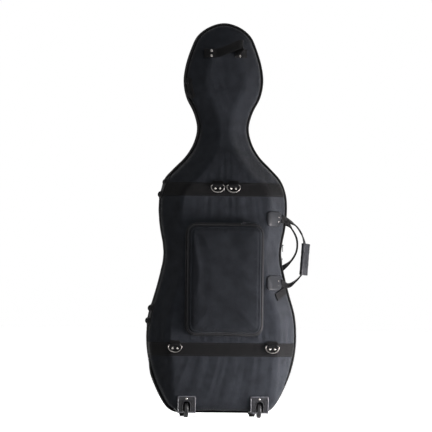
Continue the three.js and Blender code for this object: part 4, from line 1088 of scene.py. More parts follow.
RING_WIDTH, RING_HEIGHT, RING_WIRE, RING_CORNER = 50.0, 28.5, 2.2, 4.5
BARREL = 5.0
CHAPE_WIDTH, CHAPE_DROP, CHAPE_THICKNESS = 35.0, 17.0, 2.4
TAB_RISE, TAB_THICKNESS = 16.0, 1.7
RIVET_SPACING, RIVET_RADIUS, RIVET_HEIGHT = 17.0, 4.3, 2.2
RING_BAR_Y = -(BAND_FACE + GAP + BARREL)
RING_PLACES = {
    "upper_left": (-27.0, 794.0), "upper_right": (27.0, 794.0),
    "lower_left": (-167.0, 247.0), "lower_right": (167.0, 247.0),
}


def ring_path():
    """The line of a D-ring's wire: a straight bar, two rounded corners and half an ellipse below."""
    span = RING_WIDTH / 2 - RING_WIRE
    drop = RING_HEIGHT - 2 * RING_WIRE
    quarter = np.linspace(0, math.pi / 2, 8)
    right = RING_CORNER * joined(np.sin(quarter), np.cos(quarter)) + [span - RING_CORNER, -RING_CORNER]
    turn = np.linspace(0, math.pi, 40)[1:-1]
    below = joined(span * np.cos(turn), -RING_CORNER - (drop - RING_CORNER) * np.sin(turn))
    bar = joined(np.linspace(-span + RING_CORNER, span - RING_CORNER, 10)[1:], 0.0)
    loop = np.vstack([right, below, right[::-1] * [-1, 1], bar])
    return joined(loop[:, 0], 0.0, loop[:, 1])


def on_band(x, z):
    """Points and outward normals of the plane that the bands' faces lie in."""
    points = joined(x, -(BAND_FACE + GAP), z)
    return points, np.broadcast_to(OUT, points.shape)


def ring_loop(x, z):
    """The folded webbing loop round a ring's bar, with its rivets and stitches, and the tab above it."""
    back = -(BAND_FACE + GAP)
    ply = CHAPE_THICKNESS / 2
    turn = np.radians(np.linspace(0, 180, 9))
    radius = BARREL - ply / 2 - 0.1
    over = joined(0.0, radius * -np.cos(turn), radius * np.sin(turn)) + [x, RING_BAR_Y, z]
    foot = z - CHAPE_DROP
    front = [(x, back - ply * 1.5, foot), (x, back - ply * 1.5, foot + 9)]
    rear = [(x, back - ply * 0.5, foot + 9), (x, back - ply * 0.5, foot)]
    parts = [ribbon(np.vstack([front, over, rear]), RIGHT, CHAPE_WIDTH, ply * 0.94, 60)[0]]
    low, high = (x - CHAPE_WIDTH / 2 - 3, z - 3), (x + CHAPE_WIDTH / 2 + 3, z + TAB_RISE)
    outline, middle = rounded_outline(low, high, 9.0)
    parts += cushion(on_band, outline, middle, 0.0, TAB_THICKNESS, 1.0)
    # The rivets take the second finish, the nickel painted paler as a painted highlight
    for side in (-1, 1):
        place = (x + side * RIVET_SPACING / 2, back - CHAPE_THICKNESS, z - (BARREL + CHAPE_DROP) / 2)
        parts.append(rivet(place, OUT, RIVET_RADIUS, RIVET_HEIGHT, steps=18))
    for side in (-1, 1):
        row = joined(x + side * (CHAPE_WIDTH / 2 - 2.2), back - CHAPE_THICKNESS + 0.05,
                     np.linspace(foot + 1, z - 6, 20))
        parts.append(stitches(row, OUT, 2.8, 1.9, 0.3, 2))
    return parts


class CELLOCASE_OT_bands(bpy.types.Operator):
    """Builds the two webbing bands across the back"""
    bl_idname = "cello_case.bands"
    bl_label = "Webbing bands"

    def execute(self, context):
        for name, height in BANDS.items():
            dressed(band_piece(name, height), "base", [name])
        return {"FINISHED"}


class CELLOCASE_OT_rings(bpy.types.Operator):
    """Builds the four D-rings, and the folded webbing loops with two rivets that hold them"""
    bl_idname = "cello_case.rings"
    bl_label = "D-rings"

    def execute(self, context):
        for name, (x, z) in RING_PLACES.items():
            wire = wire_loop(ring_path() + [x, RING_BAR_Y, z], RING_WIRE, settings().ring_sides, -OUT)
            ring = make("wire_ring_" + name, [wire], ["nickel_plated_steel"])
            dressed(ring, f"{name}_ring", ["d_ring_" + name])
            finishes = ["ribbed_webbing", "polished_nickel_painted_highlight", "sewing_thread"]
            plate = make("ring_loop_" + name, ring_loop(x, z), finishes)
            dressed(plate, "base", ["ring_plate_" + name])
        return {"FINISHED"}


# Pocket

POCKET_WIDTH, POCKET_HEIGHT, POCKET_CORNER = 260.0, 378.0, 33.0
POCKET_Z = 472.0
POCKET_DEPTH = 26.0
GUSSET_BACK = BASE["depth"] + GAP
GUSSET_FRONT = GUSSET_BACK + POCKET_DEPTH
FLAP_BACK = GUSSET_FRONT + GAP
# The gusset's section: offset from the pocket's outline, depth from the back, and its share of the slack
GUSSET_SECTION = np.array([
    (-0.6, 0, 0), (0.2, 2.5, 0.3), (0.1, 8, 1), (-0.6, 12.0, 0.6), (-1.9, 12.4, 0), (-3.3, 17.4, 0),
    (-2.6, 17.8, 0.6), (-3.4, 22, 1), (-6.0, 26, 0.2), (-9.4, 26, 0), (-9.0, 13, 0),
    (-6.4, 0, 0), (-0.6, 0, 0)])
# Creases of the front: how high they stand, how wide they are and the bent lines that they follow
CREASES = (
    (2.4, 10, [(-116, 150), (-106, 100), (-93, 52), (-89, 10), (-96, -40)]),
    (-1.0, 14, [(-98, 150), (-80, 80), (-66, 20), (-72, -60)]),
    (1.2, 9, [(-112, 170), (-84, 150), (-60, 118)]),
    (1.5, 10, [(112, -170), (88, -150), (60, -116)]),
    (-0.8, 8, [(100, -176), (74, -146)]),
    (1.2, 11, [(-112, -168), (-84, -146), (-58, -108)]),
    (0.7, 22, [(-60, -40), (0, 20), (62, 66)]),
    (-0.7, 16, [(104, 110), (92, 30), (98, -70)]),
    (0.9, 11, [(110, 164), (84, 144), (50, 116)]),
)


def pocket_loop(offset, count=300):
    """A rounded rectangle round the pocket at an offset, from the middle of its foot, and its normals,
    which point outwards."""
    w, h = POCKET_WIDTH / 2 + offset, POCKET_HEIGHT / 2 + offset
    corners = round_corners((-w, -h), (w, h), POCKET_CORNER + offset, 14)
    line = spaced(np.vstack([[0, -h], corners, [0, -h]]), count + 1)
    along = np.gradient(line, axis=0)
    along[0] = along[-1] = [1, 0]
    line[:, 1] += POCKET_Z
    return line, unit(joined(along[:, 1], -along[:, 0]))


def pocket_ring(line, normal, offsets, depths):
    """A section of offsets and depths carried round the pocket's loop."""
    return joined(line[:, :1] + normal[:, :1] * offsets, -depths, line[:, 1:] + normal[:, 1:] * offsets)


def ridge(x, z, path, width):
    """1 along a bent line and fading away from it, as a Gaussian of the distance."""
    path = spaced(np.asarray(path, float), 40)
    distance = np.sqrt((x[..., None] - path[:, 0]) ** 2 + (z[..., None] - path[:, 1]) ** 2).min(-1)
    return np.exp(-(distance / width) ** 2)


def pocket_front():
    """The pocket's padded front. Its sides are quarter circles, with a groove as a Gaussian inside its piping,
    and its crown rises as a power of the distance from each side. Slack, the product of two wavering lines,
    creases and the seam's puckers lie on it."""
    line, _ = pocket_loop(-7.0, 260)
    spine = joined(0.0, np.clip(line[:, 1], POCKET_Z - 59, POCKET_Z + 59))
    flat, rear = (mix(line[:, None], spine[:, None], share[None, :, None])
                  for share in (np.linspace(0, 1, 34) ** 1.25, np.linspace(0, 1, 8)))
    x, z = flat[..., 0], flat[..., 1] - POCKET_Z
    w, h, corner = POCKET_WIDTH / 2 - 6.0, POCKET_HEIGHT / 2 - 6.0, POCKET_CORNER - 6.0
    past_x, past_z = np.abs(x) - (w - corner), np.abs(z) - (h - corner)
    beside = np.hypot(np.maximum(past_x, 0), np.maximum(past_z, 0))
    inward = corner - (beside + np.minimum(np.maximum(past_x, past_z), 0))
    near_x, near_z = (1 - (1 - np.clip((reach - np.abs(way)) / 44.0, 0, 1)) ** 2.3
                      for reach, way in ((w, x), (h, z)))
    near = near_x * near_z
    rise = 4.2 * quarter_round(inward / 5.5)
    groove = -2.0 * np.exp(-((inward - 9.5) / 2.6) ** 2)
    body = (settings().pocket_crown / MM - 2.5) * near
    slack = 0.9 * ripple(x + 0.4 * z, 61, 60, 170) * ripple(z, 62, 80, 240) * near
    folds = sum(height * ridge(x, z, path, width) for height, width, path in CREASES)
    folds = folds * np.clip((inward - 10) / 16, 0, 1)
    around = np.linspace(0, 1190, len(line))
    pucker = 0.7 * ripple(around, 63, 9, 34)[:, None] * np.exp(-((inward - 15) / 8) ** 2)
    front = joined(x, -(FLAP_BACK + (rise + groove + body + slack + folds + pucker)), z + POCKET_Z)
    front[:, 0, 1] = -FLAP_BACK
    rear = joined(rear[..., 0], -FLAP_BACK, rear[..., 1])
    parts = [grid(front, front[..., [0, 2]]), grid(rear, rear[..., [0, 2]])]
    seam, _ = pocket_loop(-16.5, 260)
    seam = joined(seam[:, 0], -(FLAP_BACK + 4.3), seam[:, 1])
    parts.append(stitches(seam, OUT, settings().stitch_pitch / MM, finish=1))
    # The front is the cover's weave painted darker, a painted shade
    return make("pocket_panel", parts, ["pocket_weave_painted_shade", "sewing_thread"], sharp=70)


def pocket_wall():
    """The pocket's gusset: its section carried round, with a slack that wavers along it."""
    line, normal = pocket_loop(0.0)
    offset, depth, slack = GUSSET_SECTION.T
    waver = 0.5 * ripple(np.linspace(0, 1200, len(line)), 71, 30, 130)
    waver[-1] = waver[0] = 0
    rings = pocket_ring(line, normal, offset, GUSSET_BACK + depth)
    rings += (waver[:, None] * slack)[..., None] * joined(normal[:, 0], 0.0, normal[:, 1])[:, None]
    return make("pocket_wall", [grid(rings)], ["plain_weave_polyester"], sharp=50)


def pocket_coil():
    """The coil of the pocket's zip, in the gusset's gap along its sides and top."""
    line, normal = pocket_loop(0.0)
    along_line = lengths(line)
    at = np.linspace(0, along_line[-1], int(along_line[-1] / 3.2), endpoint=False)
    seat, out = at_lengths(line, at), unit(read_at(at, along_line, normal))
    keep = seat[:, 1] > POCKET_Z - POCKET_HEIGHT / 2 + 40
    seat = joined(seat[keep, 0], -(GUSSET_BACK + 14.9), seat[keep, 1])
    out = joined(out[keep, 0], 0.0, out[keep, 1])
    tooth = lathe([(0, -1.9), (0.8, -1.7), (1.1, 0), (0.8, 1.7), (0, 1.9)], 6)
    teeth = scattered(tooth, seat - out * 2.7, joined(-out[:, 2], 0.0, out[:, 0]), out, -OUT)
    return make("pocket_zip_coil", [teeth], ["nylon_coil"])


class CELLOCASE_OT_pocket(bpy.types.Operator):
    """Builds the pocket: its gusset with a zip, two pipings and the padded front that folds down"""
    bl_idname = "cello_case.pocket"
    bl_label = "Pocket"

    def execute(self, context):
        dressed(pocket_wall(), "base", ["pocket_gusset"])
        dressed(pocket_coil(), "base", ())
        for name, offset, depth, radius in (("pocket_base_piping", 2.3, GUSSET_BACK + 2.3, 2.3),
                                            ("pocket_front_piping", -3.5, GUSSET_FRONT - 2.6, 3.2)):
            cord = circle(radius, 10)
            rings = pocket_ring(*pocket_loop(offset), cord[:, 0], depth + cord[:, 1])
            # The cords are the vinyl painted paler, a painted highlight
            dressed(make(name + "_cord", [grid(rings)], ["pocket_vinyl_painted_highlight"]), "base", [name])
        front = pocket_front()
        dressed(front, "pocket_flap", ["pocket_front"])
        return {"FINISHED"}


# Handles

def cushion(place, loop, middle, low, high, edge, crown=0.0, rings=9):
    """A pad on a surface: rings drawn from its outline to its middle, a quarter circle up at its edge and a
    parabola towards the middle. place gives the surface's points and normals at two coordinates."""
    turn = np.linspace(0, math.pi / 2, 6)
    border = 1 - (edge * (1 - np.cos(turn)))[:, None] / np.linalg.norm(loop - middle, axis=1)
    share = np.concatenate([border, np.linspace(1, 0, rings)[1:, None] * border[-1]])
    lift = np.r_[np.sin(turn), np.ones(rings - 1)][:, None]
    flat = middle + share[..., None] * (loop - middle)
    points, normals = place(flat[..., 0], flat[..., 1])
    height = low + (high - low) * lift + crown * (1 - share ** 2) * lift
    under = points[[0, -1]] + normals[[0, -1]] * low
    return [grid(points + normals * height[..., None], flat), grid(under, flat[[0, -1]])]


def half_width(z):
    """How far the seam is from the middle line at a height."""
    return np.interp(z, SEAM[:HALF_STATIONS + 1, 1], SEAM[:HALF_STATIONS + 1, 0])


PATCH_LENGTH, PATCH_HEIGHT, PATCH_THICKNESS, PATCH_INSET = 53.0, 52.0, 6.0, 22.0
POCKET_EDGE = 134.6
STRAP_WIDTH, STRAP_THICKNESS, TAIL_THICKNESS = 26.0, 4.4, 2.4
# A half's handle: the half, the heights of its patches, how far the strap reaches out and back, and the
# strap's run as shares of the way down, of that reach and of a quarter turn
HANDLES = {
    "base": (BASE, 681.0, 462.0, 88.0, 58.0, [
        (0.00, 0.00, 0.0), (0.01, 0.12, 0.1), (0.03, 0.32, 0.6), (0.09, 0.58, 0.95), (0.21, 0.82, 1.0),
        (0.38, 0.97, 1.2), (0.62, 0.95, 1.25), (0.84, 0.86, 1.2), (0.92, 0.72, 1.0), (0.985, 0.52, 0.9),
        (1.025, 0.33, 0.7), (1.025, 0.15, 0.35), (1.005, 0.05, 0.1), (1.00, 0.00, 0.0)]),
    "lid": (LID, 681.0, 500.0, 74.0, 74.0, [
        (0.00, 0.00, 0.0), (0.00, 0.14, 0.0), (0.06, 0.38, 0.5), (0.18, 0.68, 0.95), (0.38, 0.92, 1.0),
        (0.60, 0.93, 1.0), (0.80, 0.70, 0.95), (0.92, 0.40, 0.5), (1.00, 0.14, 0.0), (1.00, 0.00, 0.0)]),
}
# The grip's ends, as shares of the way down and of the reach, its turn and its half width and half depth
GRIP = ((0.375, 1.03), (0.87, 0.93))
GRIP_TURN = math.radians(42)
GRIP_WIDE, GRIP_DEEP = 18.4, 7.4
# The strap's free end below the lower patch: where it starts and ends on the flank
TAIL = np.array([(212.0, 436.0), (178.0, 412.0)])


def strap_exit(half, height):
    """Where a side strap leaves its patch, lifted off the flank."""
    corner = section(half, np.array([height]), -4.5, 0.0)[0]
    inset = PATCH_INSET - 1.7
    slope = (corner[2, 1] - corner[1, 1]) / (corner[2, 0] - corner[1, 0])
    depth = corner[1, 1] + slope * (inset - corner[1, 0])
    return np.array([half_width(height) - inset, half["side"] * depth, height])


def side_strap(half, upper_z, lower_z, reach_x, reach_y, shares):
    """A side strap's points and width directions: down from the upper patch and out along its reach, turned
    from flat at its ends to edge on in its middle, and a little further at the grip. Returns as well its ends,
    its reach and the width direction that is edge on."""
    upper, lower = strap_exit(half, upper_z), strap_exit(half, lower_z)
    down = unit(lower - upper)
    reach = np.array([reach_x, -half["side"] * reach_y, 0.0])
    flat = unit(OUT - (OUT @ down) * down)
    share = np.array(shares)
    turn = np.minimum(share[:, 2:], 1) * math.pi / 2
    tilt = np.maximum(share[:, 2:] - 1, 0) * math.pi / 2
    edge_on = flat * np.cos(tilt) + np.cross(down, flat) * np.sin(tilt)
    points = upper + (lower - upper) * share[:, :1] + reach * share[:, 1:2]
    return points, down * np.cos(turn) + edge_on * np.sin(turn), upper, lower, reach, flat


def sewn_strap(points, width_dirs, width, thickness, count, thread, trim=2, finish=0):
    """A webbing strap with a row of stitches along each edge, on both its faces and short of its ends."""
    strap, *run = ribbon(points, width_dirs, width, thickness, count, finish)
    line, across, face = (rows[trim:-trim] for rows in run)
    pitch = settings().stitch_pitch / MM
    return [strap, *(
        stitches(line + across * side * (width / 2 - 2.6) + face * up * (thickness / 2 - 0.02), face * up,
                 pitch, pitch * 0.65, 0.36, thread)
        for side in (-1, 1) for up in (-1, 1))]


def handle_patch(half, height):
    """A leathery patch on the flank, domed, with its edges turned under, a stitched border, two rivets and the
    strap's mouth, a low roll along its outer edge."""
    outer = half_width(height) - PATCH_INSET + 0.6
    inner = max(outer - 0.6 - PATCH_LENGTH, POCKET_EDGE + 8)
    low, high = np.array([(inner, height - PATCH_HEIGHT / 2), (outer, height + PATCH_HEIGHT / 2)])
    loop, middle = rounded_outline(low, high, 13.0)
    parts = cushion(partial(on_face, half), loop, middle, 0.2, PATCH_THICKNESS - 1.6, 4.4, 1.5)
    border, _ = rounded_outline(low + 4.5, high - 4.5, 9.0, 90)
    points, normals = on_face(half, border[:, 0], border[:, 1])
    share = 1 - np.linalg.norm(border - middle, axis=1) / np.linalg.norm(high - middle)
    points = points + normals * (PATCH_THICKNESS - 1.5 + share)[:, None]
    parts.append(stitches(points, normals, 4.4, 3.0, 0.4, 2))
    for z in (height + 7.5, height - 7.5):
        point, normal = on_face(half, np.array([outer - 12.5]), np.array([z]))
        parts.append(rivet(point[0] + normal[0] * (PATCH_THICKNESS - 1.3), normal[0], 3.6, 1.6))
    reach = STRAP_WIDTH / 2 + 1
    span = np.linspace(height - reach, height + reach, 24)
    points, normals = on_face(half, np.full(24, outer - 2.2), span)
    swell = np.clip(1 - (np.abs(span - height) / reach) ** 6, 0.1, 1)
    roll = circle(1.0, 12) * joined(3.0 * swell, 2.6 * swell)[:, None]
    across = unit(np.cross(np.gradient(points, axis=0), normals))
    parts.append(grid(capped(carried(points + normals * 3.6, across, normals, roll))))
    return parts


def strap_tail(half):
    """The free end of the strap, which hangs below the lower patch: a ribbon that lies on the flank."""
    share = np.linspace(0, 1, 16)[:, None]
    flat = mix(TAIL[0], TAIL[1], share)
    points, normals = on_face(half, flat[:, 0], flat[:, 1])
    points = points + normals * (2.0 + 2.5 * (1 - share) ** 2 + 1.5 * share ** 3)
    across = unit(np.cross(np.gradient(points, axis=0), normals))
    return sewn_strap(points, across, STRAP_WIDTH, TAIL_THICKNESS, 40, 2, finish=3)


def grip_wrap(upper, lower, reach, flat):
    """The padded grip round the strap: an oblong, a circle's cosines and sines to a low power, that is rounded
    over and flares at both ends, wavers a little along them, and has a row of stitches on each face."""
    top, bottom = (mix(upper, lower, along) + reach * out for along, out in GRIP)
    down = unit(bottom - top)
    flat = unit(flat - (flat @ down) * down)
    across = flat * math.cos(GRIP_TURN) + np.cross(down, flat) * math.sin(GRIP_TURN)
    face = np.cross(down, across)
    length = np.linalg.norm(bottom - top)
    ends = np.array([0.0, 0.6, 2.0, 4.0])
    at = np.r_[ends, np.linspace(7, length - 7, 26), length - ends[::-1]]
    rim = np.minimum(at, length - at)
    edge = 1 - 1.6 * (1 - quarter_round(rim / 2.2)) / 7.5
    wide = GRIP_WIDE + 2.1 * np.exp(-rim / 9.0) + 0.35 * ripple(at, 81, 14, 50)
    deep = GRIP_DEEP - 0.4 * np.exp(-rim / 12.0) + 0.3 * ripple(at, 82, 16, 60)
    turn = circle(1.0, 40)
    oval = np.sign(turn) * np.abs(turn) ** 0.55
    rings = oval * joined(wide * edge, deep * edge)[:, None]
    parts = [grid(capped(carried(top + down * at[:, None], across, face, rings)))]
    lap = np.linspace(3, length - 3, 40)[:, None]
    for way in (-face, face):
        parts.append(stitches(top + down * lap + across * 13.0 + way * GRIP_DEEP, way, 4.6, 3.0, 0.4, 1))
    return parts


TOP_STRAP = {
    "width": 30.0, "thickness": 2.5, "span": 98.0, "tail": 24.0, "drop": 9.0, "bend": 6.0, "z": 1247.0,
    "rise": 30.0, "bow": 34.0, "spacing": 17.0, "rivet": 5.0,
    "shares": [
        (0.05, 0.00, 0.005), (0.12, 0.00, 0.02), (0.20, 0.02, 0.07), (0.36, 0.18, 0.36), (0.62, 0.52, 0.72),
        (0.86, 0.88, 0.95), (0.99, 1.00, 1.00), (1.06, 0.98, 0.88), (1.06, 0.86, 0.72), (0.99, 0.54, 0.48),
        (0.885, 0.25, 0.25), (0.850, 0.06, 0.12), (0.875, 0.00, 0.04), (0.925, 0.00, 0.02),
        (0.97, 0.00, 0.005)],
}


class CELLOCASE_OT_top_handle(bpy.types.Operator):
    """Builds the slack webbing handle on the head, whose level ends are riveted down"""
    bl_idname = "cello_case.top_handle"
    bl_label = "Top handle"

    def execute(self, context):
        t = TOP_STRAP
        foot_y = -(HEAD_DEPTH + 0.5 + t["thickness"] / 2)
        half = t["span"] / 2
        foot = np.array([(half + t["tail"], foot_y + t["drop"], t["z"]), (half + t["bend"], foot_y, t["z"]),
                         (half, foot_y, t["z"])])
        share = np.array(t["shares"])
        slack = joined(-half + share[:, 0] * t["span"], foot_y - share[:, 2] * t["bow"],
                       t["z"] + share[:, 1] * t["rise"])
        points = np.vstack([foot * [-1, 1, 1], slack, foot[::-1]])
        parts = sewn_strap(points, UP, t["width"], t["thickness"], 170, 2, 4)
        top = foot_y - t["thickness"] / 2 + 0.1
        for x in (-half, half):
            for z in (t["z"] - t["spacing"] / 2, t["z"] + t["spacing"] / 2):
                parts.append(rivet((x, top, z), OUT, t["rivet"], 2.0))
        finishes = ["strap_webbing", "nickel_plated_steel", "sewing_thread"]
        made = make("top_webbing_handle", parts, finishes, sharp=50)
        dressed(made, "base", ["top_handle_strap"])
        return {"FINISHED"}


class CELLOCASE_OT_side_handles(bpy.types.Operator):
    """Builds the side handle of each half: two riveted patches, the strap and the padded grip"""
    bl_idname = "cello_case.side_handles"
    bl_label = "Side handles"

    def execute(self, context):
        for name, (half, upper_z, lower_z, reach_x, reach_y, shares) in HANDLES.items():
            points, directions, *ends = side_strap(half, upper_z, lower_z, reach_x, reach_y, shares)
            parts = sewn_strap(points, directions, STRAP_WIDTH, STRAP_THICKNESS, 110, 1)
            made = make(name + "_side_strap", parts, ["strap_webbing", "sewing_thread"], sharp=50)
            dressed(made, name + "_handle", [name + "_handle_strap"])
            if half is BASE:
                wrap = make("side_grip", grip_wrap(*ends), ["grained_vinyl", "sewing_thread"], sharp=60)
                dressed(wrap, "base_handle", ["handle_grip_wrap"])
            for end, height in (("upper", upper_z), ("lower", lower_z)):
                parts = handle_patch(half, height)
                if half is BASE and end == "lower":
                    parts += strap_tail(half)
                finishes = ["grained_vinyl", "nickel_plated_steel", "sewing_thread", "strap_webbing"]
                patch = make(f"{name}_{end}_patch", parts, finishes, sharp=50)
                dressed(patch, name, [f"{name}_handle_patch_{end}"])
        return {"FINISHED"}


# Feet and wheels

# A pair of studs: its height, its depth from the seam and the width of its plate
SIDE_FEET = {"head": (1128.0, 34.0, 26.0), "upper": (784.0, 45.0, 34.0), "lower": (350.0, 45.0, 34.0)}
FOOT_SPACING, FOOT_MARGIN, FOOT_PLATE, STUD_HEIGHT = 43.0, 16.0, 2.5, 7.0


class CELLOCASE_OT_side_feet(bpy.types.Operator):
    """Builds the pairs of rubber studs on the left side, each pair on a plate"""
    bl_idname = "cello_case.side_feet"
    bl_label = "Side feet"

    def execute(self, context):
        h = STUD_HEIGHT
        stud = [(0, h), (3.5, h - 0.3), (6.6, h - 1.4), (8.6, h - 3.3), (9.4, 2.6), (9.6, 1.9), (10.6, 1.7),
                (11.0, 1.2), (11.0, -0.8), (0, -0.8)]
        for half in (BASE, LID):
            for place, (height, seam, width) in SIDE_FEET.items():
                # The upper pair of the back half stands on the webbing band
                under = 2.1 if half is BASE and place == "upper" else 0.3
                reach = FOOT_SPACING / 2 + FOOT_MARGIN
                low, high = (seam - width / 2, height - reach), (seam + width / 2, height + reach)
                loop, middle = rounded_outline(low, high, width / 2 - 1.0, 72)
                parts = cushion(partial(on_side, half, -1), loop, middle, under, under + FOOT_PLATE, 1.3)
                for z in (height - FOOT_SPACING / 2, height + FOOT_SPACING / 2):
                    point, normal = on_side(half, -1, np.array([seam]), np.array([z]))
                    out = unit(normal[0] * [1, 0.5, 1])
                    seat = point[0] + out * (under + FOOT_PLATE - 0.4)
                    parts.append(lathe(stud, 28, out, seat))
                    parts.append(rivet(seat + out * (h - 0.5), out, 3.0, 0.8, 0))
                made = make(f"{half['name']}_{place}_studs", parts, ["moulded_rubber"], sharp=50)
                dressed(made, half["name"], [f"{half['name']}_side_foot_{place}"])
        return {"FINISHED"}


WHEEL_BACK, WHEEL_RADIUS = 112.0, 27.0
SLOT_HALF, HOUSING_HALF = 12.5, 31.5
HOUSING_Z = (16.0, 74.0)
HOUSING_FACE = BASE["depth"] + GAP + 5.0
SOLE_TOP = GROUND + SEAM_REVEAL - GAP
# Profiles of radius and distance along the axle
TYRE = looped(mirrored([(19.2, -5.2), (20.5, -6.4), (23.0, -7.0), (24.6, -6.6), (26.2, -5.2), (27.0, -2.6),
                        (27.0, -1.4), (26.2, -0.8)]))
HUB = looped(mirrored([(3.4, -12.2), (7.2, -12.2), (8.0, -11.4), (8.4, -5.0), (10.0, -3.6), (17.6, -3.6),
                       (18.8, -5.6), (19.4, -5.6)]))
AXLE = mirrored([(0, -17), (2.3, -17), (3.0, -16.3)])
LID_FOOT = [(0, 1.2), (4.5, 1.2), (5.5, 0.0), (8.5, 0.0), (9.6, 0.9), (10.6, 6.0), (12.4, 9.0), (16.0, 11.5),
            (20.0, SOLE_TOP - 2.4), (20.6, SOLE_TOP - 1.2), (20.0, SOLE_TOP), (0, SOLE_TOP)]


def housing_piece(x, name):
    """A wheel housing: a back plate, a sole under the shell and the well that holds the wheel, joined, and cut
    by a slot with a round top and by the axle's bore."""
    def moulded(label, part):
        """A part of the housing as an object of its own."""
        return make(label, [part], ["moulded_abs"])

    body = moulded(name, rounded_block((x - HOUSING_HALF, -HOUSING_FACE + 1.0, HOUSING_Z[0]),
                                       (x + HOUSING_HALF, -(BASE["depth"] + GAP), HOUSING_Z[1]), 2.0))
    sole = rounded_block((x - HOUSING_HALF, -HOUSING_FACE + 1.5, SOLE_TOP - 5),
                         (x + HOUSING_HALF, -60, SOLE_TOP), 1.5)
    well = rounded_block((x - WELL_HALF, -HOUSING_FACE + 2.0, SOLE_TOP - 4.5),
                         (x + WELL_HALF, -WELL_INNER, WELL_TOP), 2.0)
    arch, _ = rounded_outline((x - SLOT_HALF, -40), (x + SLOT_HALF, 56.0), SLOT_HALF - 0.01, 90)
    slot = np.stack([joined(arch[:, 0], y, arch[:, 1]) for y in (-HOUSING_FACE - 20, -WELL_INNER - 4.5)])
    end = WELL_HALF + 0.4
    bore = lathe(mirrored([(0, -end), (3.35, -end)]), 24, RIGHT, (x, -WHEEL_BACK, WHEEL_RADIUS))
    for part in (sole, well):
        combine(body, moulded("housing_part", part), "UNION")
    for part in (grid(capped(slot)), bore):
        combine(body, moulded("housing_cut", part), "DIFFERENCE")
    soften(body, 0.6, 2)
    return body


def housing_trim(x):
    """The plate's raised border, the slot's lip, the ribs on each side of the slot, a rivet and two pins."""
    face = -HOUSING_FACE + 1.0
    bead = np.array([(-2.3, 0), (-1.9, 1.5), (-1.0, 2.0), (1.0, 2.0), (1.9, 1.5), (2.3, 0), (0, -0.4),
                     (-2.3, 0)])
    foot, top = HOUSING_Z
    reach = HOUSING_HALF - 2.0
    border, _ = rounded_outline((x - reach, foot + 2.0), (x + reach, top - 2.0), 6.0, 120)
    half = SLOT_HALF + 1.4
    arch = circle(half, 64)[:33] + [0, 43.5]
    lip = spaced(np.vstack([[half, foot + 1], arch, [-half, foot + 1]]), 90) + [x, 0]
    parts = []
    # The border takes the third finish, the plastic painted paler as a painted highlight
    for line, profile, closed, finish in ((border, bead * [0.75, 1.0], True, 2), (lip, bead * 0.8, False, 0)):
        path = joined(line[:, 0], face + 0.1, line[:, 1])
        along = unit(np.gradient(path, axis=0))
        if closed:
            along[0] = along[-1] = unit(path[1] - path[-2])
        rings = carried(path, np.cross(along, OUT), OUT, profile)
        parts.append(grid(rings if closed else capped(rings), finish=finish))
    for z in np.arange(foot + 8, top - 14, 4.6):
        for side in (-1, 1):
            ends = sorted((x + side * (SLOT_HALF + 3.2), x + side * (HOUSING_HALF - 4.6)))
            low, high = (ends[0], face - 0.8, z - 0.9), (ends[1], face + 0.4, z + 0.9)
            parts.append(rounded_block(low, high, 0.55, 2))
    # The rivet takes the nickel painted paler, a painted highlight
    parts.append(rivet((x, face - 0.05, top - 9.5), OUT, 4.2, 2.4))
    parts += [rivet((x + side * 24.5, face - 0.05, top - 7.5), OUT, 2.2, 1.1, 0) for side in (-1, 1)]
    return parts


def wheel_parts(centre):
    """A wheel whose axle lies across: a grooved tyre, a hub with a thin web, and six spokes."""
    turn = np.linspace(0, 2 * math.pi, 7)[:-1]
    spoke = rounded_block((8.0, -4.6, -1.1), (19.0, 4.6, 1.1), 0.8, 2)
    spokes = scattered(spoke, np.tile(centre, (6, 1)), joined(0.0, np.cos(turn), np.sin(turn)), RIGHT,
                       joined(0.0, -np.sin(turn), np.cos(turn)), 1)
    return [lathe(TYRE, 56, RIGHT, centre), lathe(HUB, 48, RIGHT, centre, 1), spokes]


class CELLOCASE_OT_wheels(bpy.types.Operator):
    """Builds the two ribbed housings at the foot, their wheels and axles, and the lid's rubber feet"""
    bl_idname = "cello_case.wheels"
    bl_label = "Wheels"

    def execute(self, context):
        for name, side in (("left", -1), ("right", 1)):
            x = side * WHEEL_X
            centre = (x, -WHEEL_BACK, WHEEL_RADIUS)
            body = housing_piece(x, f"housing_{name}_moulding")
            dressed(body, "base", [f"wheel_housing_{name}"])
            # The third finish is the plastic painted paler, a painted highlight on the plates' borders
            finishes = ["moulded_abs", "polished_nickel_painted_highlight", "abs_painted_highlight"]
            trim = make(f"housing_{name}_ribs", housing_trim(x), finishes, sharp=40)
            dressed(trim, "base", ())
            finishes = ["wheel_polyurethane", "moulded_abs"]
            wheel = make(f"{name}_tyre_and_hub", wheel_parts(centre), finishes, sharp=45)
            dressed(wheel, f"{name}_wheel", [f"wheel_{name}"])
            axle = make(f"{name}_axle_pin", [lathe(AXLE, 28, RIGHT, centre)], ["nickel_plated_steel"])
            dressed(axle, "base", [f"wheel_axle_{name}"])
            foot = lathe(LID_FOOT, 48, UP, (side * 120.0, 88.0, 0))
            dressed(make(f"lid_{name}_rubber_foot", [foot], ["moulded_rubber"]), "lid", [f"lid_foot_{name}"])
        return {"FINISHED"}


# Zip sliders

SLIDER_HEIGHT, PULL_PIVOT = 4.5, 6.4


